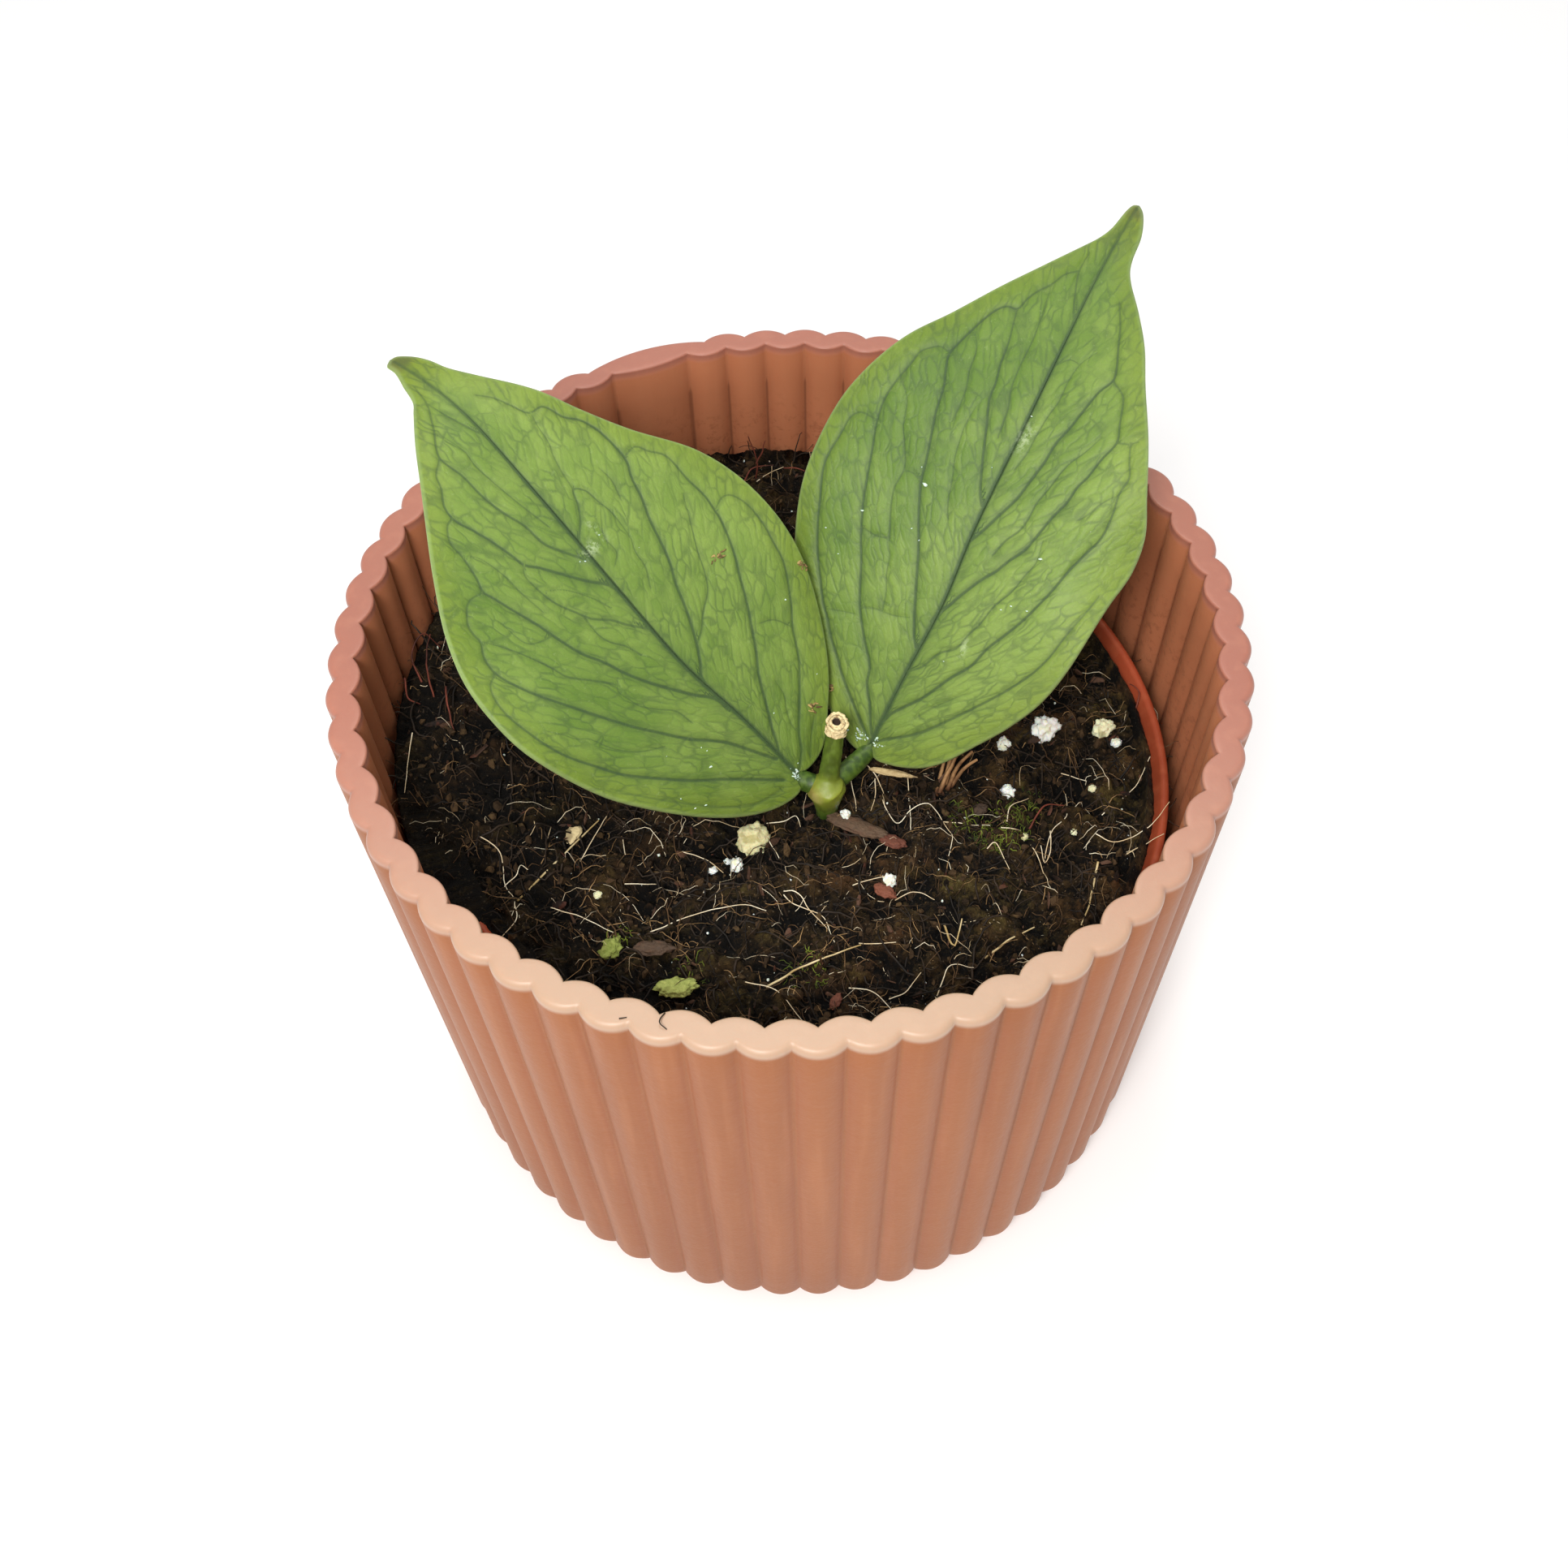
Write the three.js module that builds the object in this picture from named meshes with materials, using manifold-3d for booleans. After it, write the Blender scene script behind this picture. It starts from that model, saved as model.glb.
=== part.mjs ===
// A young hoya cutting with two leaves in a nursery pot, standing in a fluted cover pot.
// Millimetres, +Z up, origin at the centre of the cover pot's flat base.
// -Y is the front and +X the right-hand side.
import * as THREE from 'three';
import { mergeVertices } from 'three/addons/utils/BufferGeometryUtils.js';
import Module from 'manifold-3d';

const wasm = await Module();
wasm.setup();

// Cover pot
const POT_HEIGHT = 85.5;
const GROOVE_RADIUS = 54;
const WALL = 3.2;
const LOBE_DEPTH = 1;
const BASE_TAPER = 0.985;
const FLUTES = 60;
const STEPS_PER_FLUTE = 4;
const CORNER_RADIUS = 5;
const CORNER_LOBE_DEPTH = 0.8;
const INNER_CORNER_RADIUS = 2;
const RIM_FILLET = 0.8;
const FILLET_MIDDLE = 0.3;
const INNER_RIM_FILLET = 0.3;
const FLOOR = 3;
const PANEL = { start: 32, outerFlutes: 3, innerStart: 32.5, innerFlutes: 2 };

// Nursery pot, which leans a little in the cover pot, its right side lower
const RIM_CENTRE = new THREE.Vector3(1.3, -2.5, 66.5);
const RIM_SLOPE = { x: -0.06, y: 0 };
const NURSERY_RIM_RADIUS = 47.4;
const NURSERY_BASE_RADIUS = 36;
const NURSERY_HEIGHT = 61.1;
const NURSERY_WALL = 1;
const NURSERY_LIP = { height: 3, reach: 1.2, thickness: 1.6, round: 0.4 };
const NURSERY_SIDES = 48;
const DRAIN = { count: 6, ring: 24, radius: 4, sides: 12 };

// Soil
const SOIL_DROP = 2;
const SPILL = { rise: 3.2, from: 15, over: 30 };
const SPILL_RADIUS = 50.1;
const SPILL_ROOM = { radius: 80, height: 20 };
const SOIL_CELL = 3;
const SOIL_MARGIN = 2;
const CLODS = { seed: 11, count: 90, height: 1.1, spread: 3.4, field: 100, vary: 0.8, hollows: 0.4 };
const GAP = 0.3;

// Pieces that lie on the soil: [x, y, size], and for chips the turn about the vertical as well
const GRAINS = [
  [33.4, 1.7, 3.7], [27.8, -0.8, 1.9], [27.8, -7.9, 2], [41, 2.3, 3], [6.8, -13.4, 1.4],
  [12, -21.6, 2], [-4.7, -15.8, 4.3], [-6.8, -19.5, 1.8], [-27.1, -15.8, 2.7], [-21.6, -31.6, 3.2],
];
const GRAIN = { flatten: 0.8, sink: 0.1 };
const CHIPS = [
  [21.1, -3.2, 4.4, 60], [8.8, -15.6, 8.6, -24], [11.4, -23.2, 2.6, -15], [-16.4, -31.8, 4.6, 0],
  [-13.5, -36.9, 4.2, 10], [13, -5, 5.5, -13],
];
const CHIP = { thickness: 1.3, sides: 9, narrow: 2.2, tilt: -12, sink: 0.2 };
const FIBRES = {
  seed: 5, count: 8, radius: 0.35, sides: 4, steps: 4, length: 13, ring: 34, back: 20, bend: 0.7,
};

// Stem
const NODE = new THREE.Vector3(4.5, -11, 68.2);
const NODE_SIZE = new THREE.Vector3(2.4, 2.2, 2.2);
const CUT = new THREE.Vector3(5.8, -7.5, 77.4);
const STUB_RADIUS = 1.1;
const STUB_SWELL = 0.3;
const STUB_STEPS = 4;
const NODE_FACES = { around: 16, down: 12 };
const CUT_COLLAR = { radius: 1.3, length: 1 };
const PITH = { radius: 0.4, depth: 0.8, over: 1, sides: 8 };
const BURIED = { depth: 22, radius: 1.3, swell: 0.8, swellFrom: 0.8, sides: 12, steps: 20 };
const ROOTS = { count: 5, drop: 17, reach: 14, radius: 0.55, thinning: 0.4, sides: 5, steps: 4, start: 16 };
const ROOT_PATH = [[0, -0.1], [0.3, 0.2], [0.75, 0.5], [1, 1]];

// Leaves: the blade's outline in its own frame, [along, across], from the base to the tip
const BLADE_THICKNESS = 0.9;
const KEEL = { depth: 0.8, half: 0.2, fade: 0.7 };
const FOLD = { slope: 0.06, round: 3 };
const TIP_BEND = { from: 0.8, most: 2 };
const BLADE_ROWS = 20;
const BLADE_COLUMNS = [-1, -0.85, -0.6, -0.32, -0.08, 0, 0.08, 0.32, 0.6, 0.85, 1];
const BLADE_ENDS = 0.012;
const PETIOLE = { radius: 1.35, tip: 0.7, along: 9, under: -0.8, sides: 9, steps: 9 };
const LEFT_LEAF = {
  base: [0.7, -10.1, 70.4], tip: [-44.2, 19.2, 111.4], roll: -8,
  arch: 5, recurve: 4, curl: { at: 0, across: 0, drop: 0, length: 1 },
  midrib: [[0, 0], [10, -1], [20, -2.3], [31, -2], [45, -0.7], [59.5, 1], [68, 1.6]],
  right: [[0, 0], [-0.8, 1.8], [-0.4, 5], [3, 9.1], [6.4, 12.2], [11.4, 15.5], [17, 18], [22.5, 19.3],
    [28, 19.6], [32.3, 19], [36.8, 17.4], [43.6, 13.4], [49.3, 10.8], [54, 9], [59.5, 6], [65.3, 3.8],
    [68, 1.6]],
  left: [[0, 0], [-1.9, -0.8], [-1.5, -3.7], [1.1, -8.2], [5.2, -12.6], [10.8, -17], [17.2, -20.8],
    [26.7, -23.8], [32.5, -23.8], [37.4, -22.8], [42.2, -20.5], [47, -16.9], [52.8, -11.8], [58, -6.9],
    [61.6, -3.4], [65.8, -0.6], [68, 1.6]],
};
const RIGHT_LEAF = {
  base: [10.2, -5, 69.3], tip: [41.6, 38.2, 116.3], roll: 5,
  arch: 5, recurve: 3, curl: { at: 34, across: 13, drop: 0.35, length: 8 },
  midrib: [[0, 0], [10, 0.6], [20, 1.3], [29, 0.9], [43.3, 0.8], [58, 0.3], [72, -0.6]],
  right: [[0, 0], [-1.4, 1], [-1.2, 3.3], [0.3, 7], [2.4, 9.5], [6, 12.2], [10.2, 15.1], [14.8, 17.4],
    [19.7, 18.6], [28.5, 19.3], [33, 19.8], [37.4, 19.3], [41.3, 17.6], [47, 14.8], [52.6, 11.4],
    [56.3, 9.2], [60, 6.4], [63.8, 3.4], [67.1, 2.3], [70.5, 0.8], [72, -0.6]],
  left: [[0, 0], [-1.4, -1], [-0.8, -3.4], [3.4, -8.6], [10.4, -14.8], [15.7, -17.8], [22.2, -20.2],
    [28, -21.3], [35.8, -21.2], [40.4, -20], [46.6, -17], [51.3, -13.3], [56, -9.8], [60.9, -6.3],
    [65.4, -2.9], [69.4, -1.6], [72, -0.6]],
};

const COLOURS = {
  cover_pot: [0xd58f7a, 0.6],
  nursery_pot: [0xb05a3c, 0.5],
  soil: [0x2a1f18, 0.95],
  stem: [0x8d9a3c, 0.6],
  leaf_left: [0x6f9a4a, 0.45],
  leaf_right: [0x6b974c, 0.45],
};

const UP = new THREE.Vector3(0, 0, 1);
const MERGE_WITHIN = 1e-4;
const DRILL_LENGTH = 4;
const radians = THREE.MathUtils.degToRad;

// Solids and meshes

function toSolid(geometry) {
  const bare = geometry.clone();
  bare.deleteAttribute('normal');
  bare.deleteAttribute('uv');
  const merged = mergeVertices(bare, MERGE_WITHIN);
  return new wasm.Manifold(new wasm.Mesh({
    numProp: 3,
    vertProperties: new Float32Array(merged.attributes.position.array),
    triVerts: new Uint32Array(merged.index.array),
  }));
}

function toGeometry(solid) {
  const { vertProperties, triVerts } = solid.getMesh();
  const geometry = new THREE.BufferGeometry();
  geometry.setAttribute('position', new THREE.BufferAttribute(new Float32Array(vertProperties), 3));
  geometry.setIndex(new THREE.BufferAttribute(new Uint32Array(triVerts), 1));
  return geometry;
}

function piece(name, geometry) {
  const [color, roughness] = COLOURS[name];
  geometry.computeVertexNormals();
  const mesh = new THREE.Mesh(geometry, new THREE.MeshStandardMaterial({ color, roughness, metalness: 0 }));
  mesh.name = name;
  return mesh;
}

function indexed(points, triangles) {
  const geometry = new THREE.BufferGeometry();
  geometry.setAttribute('position', new THREE.Float32BufferAttribute(points.flatMap((p) => p.toArray()), 3));
  geometry.setIndex(triangles.flat());
  return geometry;
}

// A skin over a stack of rings, closed at each end by a fan to a centre point.
function ringSkin(rings, first, last) {
  const count = rings[0].length;
  const points = [...rings.flat(), first, last];
  const firstIndex = rings.length * count;
  const lastIndex = firstIndex + 1;
  const triangles = [];
  for (let k = 0; k < count; k += 1) {
    const next = (k + 1) % count;
    triangles.push([firstIndex, next, k]);
    for (let row = 0; row < rings.length - 1; row += 1) {
      const low = row * count;
      const high = low + count;
      triangles.push([low + k, low + next, high + next], [low + k, high + next, high + k]);
    }
    const top = (rings.length - 1) * count;
    triangles.push([lastIndex, top + k, top + next]);
  }
  return indexed(points, triangles);
}

// A round rod along a curve, with a radius that may change along it.
function rod(curve, radiusAt, sides, steps) {
  const frames = curve.computeFrenetFrames(steps, false);
  const rings = [];
  for (let step = 0; step <= steps; step += 1) {
    const t = step / steps;
    const centre = curve.getPointAt(t);
    rings.push(Array.from({ length: sides }, (_, k) => {
      const angle = (2 * Math.PI * k) / sides;
      return centre.clone()
        .addScaledVector(frames.normals[step], radiusAt(t) * Math.cos(angle))
        .addScaledVector(frames.binormals[step], radiusAt(t) * Math.sin(angle));
    }));
  }
  return ringSkin(rings, curve.getPointAt(0), curve.getPointAt(1));
}

function seededRandom(seed) {
  let state = seed;
  return () => {
    state = (state * 1664525 + 1013904223) % 4294967296;
    return state / 4294967296;
  };
}

// Cover pot: 60 lobes outside and, half a flute on, 60 inside, so the wall keeps its thickness

function lobe(fraction) {
  return 1 - (2 * fraction - 1) ** 2;
}

function outerLobe(index) {
  const onPanel = index - PANEL.start;
  const within = onPanel >= 0 && onPanel < PANEL.outerFlutes;
  return lobe(within ? onPanel / PANEL.outerFlutes : index % 1);
}

function innerLobe(index) {
  const onPanel = index - PANEL.innerStart;
  const within = onPanel >= 0 && onPanel < PANEL.innerFlutes;
  return lobe(within ? onPanel / PANEL.innerFlutes : (index + 0.5) % 1);
}

// A ring of the wall: how far in from the groove circle, how high, and how deep its lobes are.
function potRing(inset, height, lobes) {
  const taper = THREE.MathUtils.lerp(BASE_TAPER, 1, height / POT_HEIGHT);
  return Array.from({ length: FLUTES * STEPS_PER_FLUTE }, (_, k) => {
    const index = k / STEPS_PER_FLUTE;
    const angle = radians(-90) + (2 * Math.PI * index) / FLUTES;
    const radius = GROOVE_RADIUS * taper - inset + lobes(index);
    return new THREE.Vector3(radius * Math.cos(angle), radius * Math.sin(angle), height);
  });
}

function coverPot() {
  const outer = (depth) => (index) => depth * outerLobe(index);
  const inner = (depth) => (index) => -depth * innerLobe(index);
  const slant = CORNER_RADIUS * (1 - Math.SQRT1_2);
  const innerInset = WALL - LOBE_DEPTH;
  const rings = [
    potRing(CORNER_RADIUS, 0, outer(0)),
    potRing(slant, slant, outer(CORNER_LOBE_DEPTH)),
    potRing(0, CORNER_RADIUS, outer(LOBE_DEPTH)),
    potRing(0, POT_HEIGHT - RIM_FILLET, outer(LOBE_DEPTH)),
    potRing(FILLET_MIDDLE * RIM_FILLET, POT_HEIGHT - FILLET_MIDDLE * RIM_FILLET, outer(LOBE_DEPTH)),
    potRing(RIM_FILLET, POT_HEIGHT, outer(LOBE_DEPTH)),
    potRing(innerInset - INNER_RIM_FILLET, POT_HEIGHT, inner(LOBE_DEPTH)),
    potRing(innerInset, POT_HEIGHT - INNER_RIM_FILLET, inner(LOBE_DEPTH)),
    potRing(innerInset, FLOOR + INNER_CORNER_RADIUS, inner(LOBE_DEPTH)),
    potRing(innerInset + INNER_CORNER_RADIUS, FLOOR, inner(0)),
  ];
  return ringSkin(rings, new THREE.Vector3(0, 0, 0), new THREE.Vector3(0, 0, FLOOR));
}

// Nursery pot: turned about its own axis, then leaned over

function nurseryPlacement() {
  const axis = new THREE.Vector3(-RIM_SLOPE.x, -RIM_SLOPE.y, 1).normalize();
  const base = RIM_CENTRE.clone().addScaledVector(axis, -NURSERY_HEIGHT);
  const turn = new THREE.Quaternion().setFromUnitVectors(UP, axis);
  return new THREE.Matrix4().compose(base, turn, new THREE.Vector3(1, 1, 1));
}

function turned(profile, sides) {
  const lathe = new THREE.LatheGeometry(profile.map(([r, z]) => new THREE.Vector2(r, z)), sides);
  return lathe.rotateX(Math.PI / 2);
}

function nurseryRadius(height) {
  const side = NURSERY_RIM_RADIUS - NURSERY_LIP.reach;
  return THREE.MathUtils.lerp(NURSERY_BASE_RADIUS, side, height / NURSERY_HEIGHT);
}

function nurseryPot() {
  const wall = NURSERY_WALL;
  const top = NURSERY_HEIGHT;
  const lipBottom = top - NURSERY_LIP.height;
  const lip = NURSERY_RIM_RADIUS;
  const mouth = lip - NURSERY_LIP.thickness;
  const round = NURSERY_LIP.round;
  const profile = [
    [0, 0], [NURSERY_BASE_RADIUS - wall, 0], [nurseryRadius(wall), wall],
    [nurseryRadius(lipBottom), lipBottom], [lip, lipBottom], [lip, top - round],
    [lip - round, top], [mouth + round, top], [mouth, top - round],
    [nurseryRadius(lipBottom) - wall, lipBottom], [nurseryRadius(wall) - wall, wall], [0, wall],
  ];
  let pot = toSolid(turned(profile, NURSERY_SIDES));
  for (let k = 0; k < DRAIN.count; k += 1) {
    const angle = (2 * Math.PI * k) / DRAIN.count;
    const drill = new THREE.CylinderGeometry(DRAIN.radius, DRAIN.radius, DRILL_LENGTH, DRAIN.sides)
      .rotateX(Math.PI / 2)
      .translate(DRAIN.ring * Math.cos(angle), DRAIN.ring * Math.sin(angle), 0);
    pot = pot.subtract(toSolid(drill));
  }
  return toGeometry(pot).applyMatrix4(nurseryPlacement());
}

// Soil: fills the nursery pot, lies a little under its rim, and spills over it on the left and at the back

const clods = (() => {
  const random = seededRandom(CLODS.seed);
  const vary = () => 1 - CLODS.vary * random();
  return Array.from({ length: CLODS.count }, () => ({
    x: CLODS.field * (random() - 0.5),
    y: CLODS.field * (random() - 0.5),
    height: CLODS.height * vary() * (random() < CLODS.hollows ? -1 : 1),
    spread: CLODS.spread * (vary() + CLODS.vary / 2),
  }));
})();

function rimPlane(x, y) {
  return RIM_CENTRE.z + RIM_SLOPE.x * (x - RIM_CENTRE.x) + RIM_SLOPE.y * (y - RIM_CENTRE.y);
}

function soilTop(x, y) {
  const towardsBackLeft = Math.hypot(Math.max(-x, 0), Math.max(y, 0));
  const spill = THREE.MathUtils.smoothstep(towardsBackLeft, SPILL.from, SPILL.from + SPILL.over);
  const bumps = clods.reduce((sum, clod) => {
    const distance = ((x - clod.x) ** 2 + (y - clod.y) ** 2) / clod.spread ** 2;
    return sum + clod.height * Math.exp(-distance);
  }, 0);
  return rimPlane(x, y) - SOIL_DROP + SPILL.rise * spill + bumps;
}

// A block whose top is the soil's surface.
function soilBlock() {
  const cells = Math.ceil((2 * SPILL_RADIUS + SOIL_MARGIN) / SOIL_CELL);
  const half = (cells * SOIL_CELL) / 2;
  const points = [];
  const triangles = [];
  const at = (i, j) => i * (cells + 1) + j;
  for (let i = 0; i <= cells; i += 1) {
    for (let j = 0; j <= cells; j += 1) {
      const x = i * SOIL_CELL - half;
      const y = j * SOIL_CELL - half;
      points.push(new THREE.Vector3(x, y, soilTop(x, y)));
      if (i < cells && j < cells) {
        triangles.push([at(i, j), at(i + 1, j), at(i + 1, j + 1)]);
        triangles.push([at(i, j), at(i + 1, j + 1), at(i, j + 1)]);
      }
    }
  }
  const edge = [];
  for (let k = 0; k < cells; k += 1) edge.push(at(k, 0));
  for (let k = 0; k < cells; k += 1) edge.push(at(cells, k));
  for (let k = cells; k > 0; k -= 1) edge.push(at(k, cells));
  for (let k = cells; k > 0; k -= 1) edge.push(at(0, k));
  const skirt = points.length;
  edge.forEach((index) => points.push(points[index].clone().setZ(0)));
  const middle = points.length;
  points.push(new THREE.Vector3(0, 0, 0));
  edge.forEach((index, k) => {
    const next = (k + 1) % edge.length;
    triangles.push([index, skirt + k, skirt + next], [index, skirt + next, edge[next]]);
    triangles.push([middle, skirt + next, skirt + k]);
  });
  return toSolid(indexed(points, triangles));
}

// The room that soil may take: the inside of the nursery pot, and what is over its rim.
function soilRoom() {
  const skin = NURSERY_WALL + GAP;
  const mouth = NURSERY_RIM_RADIUS - NURSERY_LIP.thickness - GAP;
  const lipBottom = NURSERY_HEIGHT - NURSERY_LIP.height;
  const over = NURSERY_HEIGHT + GAP;
  const top = over + SPILL_ROOM.height;
  const reach = SPILL_ROOM.radius;
  const inside = turned([
    [0, skin], [nurseryRadius(skin) - skin, skin], [nurseryRadius(lipBottom) - skin, lipBottom],
    [mouth, NURSERY_HEIGHT], [mouth, top], [0, top],
  ], NURSERY_SIDES);
  const above = turned([[0, over], [reach, over], [reach, top], [0, top]], NURSERY_SIDES);
  const within = new THREE.CylinderGeometry(SPILL_RADIUS, SPILL_RADIUS, POT_HEIGHT, NURSERY_SIDES)
    .rotateX(Math.PI / 2)
    .translate(0, 0, POT_HEIGHT / 2);
  const place = nurseryPlacement();
  const spill = toSolid(above.applyMatrix4(place)).intersect(toSolid(within));
  return toSolid(inside.applyMatrix4(place)).add(spill);
}

function settled(geometry, x, y, sink) {
  return geometry.translate(x, y, soilTop(x, y) - sink);
}

function grain([x, y, size], random) {
  const lump = new THREE.IcosahedronGeometry(size / 2, 0)
    .rotateX(2 * Math.PI * random())
    .rotateZ(2 * Math.PI * random())
    .scale(1, 1, GRAIN.flatten);
  return settled(lump, x, y, GRAIN.sink * size);
}

function chip([x, y, size, turn]) {
  const flake = new THREE.CylinderGeometry(size / 2, size / 2, CHIP.thickness, CHIP.sides)
    .rotateX(Math.PI / 2)
    .scale(1, CHIP.narrow / size, 1)
    .rotateX(radians(CHIP.tilt))
    .rotateZ(radians(turn));
  return settled(flake, x, y, CHIP.sink);
}

function fibre(random) {
  const start = 2 * Math.PI * random();
  const away = FIBRES.ring * Math.sqrt(random());
  const x = away * Math.cos(start);
  const y = Math.min(away * Math.sin(start), FIBRES.back);
  const heading = 2 * Math.PI * random();
  const bend = FIBRES.bend * (random() - 0.5);
  const line = Array.from({ length: FIBRES.steps + 1 }, (_, k) => {
    const along = (k / FIBRES.steps - 0.5) * FIBRES.length;
    const px = x + along * Math.cos(heading + bend * k);
    const py = y + along * Math.sin(heading + bend * k);
    return new THREE.Vector3(px, py, soilTop(px, py));
  });
  return rod(new THREE.CatmullRomCurve3(line), () => FIBRES.radius, FIBRES.sides, FIBRES.steps);
}

function soil() {
  const random = seededRandom(FIBRES.seed);
  let body = soilRoom().intersect(soilBlock());
  const lying = [...GRAINS.map((spot) => grain(spot, random)), ...CHIPS.map(chip)];
  for (let k = 0; k < FIBRES.count; k += 1) lying.push(fibre(random));
  lying.forEach((item) => { body = body.add(toSolid(item).intersect(soilRoom())); });
  return toGeometry(largest(body.subtract(stemSolid(GAP))));
}

// The biggest body of a solid, without loose scraps.
function largest(solid) {
  return solid.decompose().reduce((best, part) => (part.volume() > best.volume() ? part : best));
}

// Stem: a cut stub over a swollen node, a buried stem and its roots; grow widens all of it

function straight(from, to) {
  return new THREE.LineCurve3(from, to);
}

function root(k, foot, grow) {
  const angle = radians(ROOTS.start) + (2 * Math.PI * k) / ROOTS.count;
  const path = new THREE.CatmullRomCurve3(ROOT_PATH.map(([out, down]) => {
    const reach = out * ROOTS.reach;
    const step = new THREE.Vector3(reach * Math.cos(angle), reach * Math.sin(angle), -down * ROOTS.drop);
    return foot.clone().add(step);
  }));
  const radiusAt = (t) => ROOTS.radius * (1 - ROOTS.thinning * t) + grow;
  return toSolid(rod(path, radiusAt, ROOTS.sides, ROOTS.steps));
}

function stemSolid(grow) {
  const axis = CUT.clone().sub(NODE).normalize();
  const foot = NODE.clone().setZ(NODE.z - BURIED.depth);
  const cutEnd = CUT.clone().addScaledVector(axis, grow);
  const collarStart = CUT.clone().addScaledVector(axis, -CUT_COLLAR.length - grow);
  const buriedRadius = (t) => {
    const swell = THREE.MathUtils.smoothstep(t, BURIED.swellFrom, 1);
    return BURIED.radius + BURIED.swell * swell + grow;
  };
  const stubRadius = (t) => STUB_RADIUS + STUB_SWELL * (1 - t) + grow;
  const bulge = new THREE.SphereGeometry(1, NODE_FACES.around, NODE_FACES.down)
    .rotateX(Math.PI / 2)
    .scale(NODE_SIZE.x + grow, NODE_SIZE.y + grow, NODE_SIZE.z + grow)
    .translate(NODE.x, NODE.y, NODE.z);
  let stem = toSolid(bulge)
    .add(toSolid(rod(straight(foot, NODE), buriedRadius, BURIED.sides, BURIED.steps)))
    .add(toSolid(rod(straight(NODE, cutEnd), stubRadius, BURIED.sides, STUB_STEPS)))
    .add(toSolid(rod(straight(collarStart, cutEnd), () => CUT_COLLAR.radius + grow, BURIED.sides, 1)));
  for (let k = 0; k < ROOTS.count; k += 1) stem = stem.add(root(k, foot, grow));
  return stem;
}

function stem() {
  const axis = CUT.clone().sub(NODE).normalize();
  const pithEnd = CUT.clone().addScaledVector(axis, -PITH.depth);
  const pithTop = CUT.clone().addScaledVector(axis, PITH.over);
  const pith = toSolid(rod(straight(pithEnd, pithTop), () => PITH.radius, PITH.sides, 1));
  return toGeometry(stemSolid(0).subtract(pith));
}

// Leaves: each blade is a grid from the midrib to the two margins, bent by a formula

function leafFrame(leaf) {
  const base = new THREE.Vector3(...leaf.base);
  const tip = new THREE.Vector3(...leaf.tip);
  const along = tip.clone().sub(base);
  const length = along.length();
  along.normalize();
  const across = along.clone().cross(UP).normalize();
  const normal = across.clone().cross(along);
  const turn = new THREE.Quaternion().setFromAxisAngle(along, radians(leaf.roll));
  return { base, length, along, across: across.applyQuaternion(turn), normal: normal.applyQuaternion(turn) };
}

// Height of the blade over its plane: arched along, folded at the midrib, bent back at the tip.
function bladeHeight(leaf, length, u, w) {
  const q = u / length;
  const arch = leaf.arch * 4 * q * (1 - q);
  const fold = FOLD.slope * (Math.hypot(w, FOLD.round) - FOLD.round);
  const past = (q - TIP_BEND.from) / (1 - TIP_BEND.from);
  const tip = leaf.recurve * THREE.MathUtils.clamp(past, 0, TIP_BEND.most) ** 2;
  const near = Math.exp(-(((u - leaf.curl.at) / leaf.curl.length) ** 2));
  const curl = leaf.curl.drop * near * Math.max(0, w - leaf.curl.across);
  return arch + fold - tip - curl;
}

function flatCurve(points) {
  const line = points.map(([u, w]) => new THREE.Vector3(u, w, 0));
  return new THREE.CatmullRomCurve3(line, false, 'centripetal');
}

function bladeSurface(leaf) {
  const frame = leafFrame(leaf);
  const midrib = flatCurve(leaf.midrib);
  const margins = { left: flatCurve(leaf.left), right: flatCurve(leaf.right) };
  const place = (u, w, lift) => frame.base.clone()
    .addScaledVector(frame.along, u)
    .addScaledVector(frame.across, w)
    .addScaledVector(frame.normal, bladeHeight(leaf, frame.length, u, w) + lift);
  const point = (s, t, lift) => {
    const flat = midrib.getPointAt(s).lerp(margins[t < 0 ? 'left' : 'right'].getPointAt(s), Math.abs(t));
    return place(flat.x, flat.y, lift);
  };
  return { place, point, midrib };
}

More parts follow.
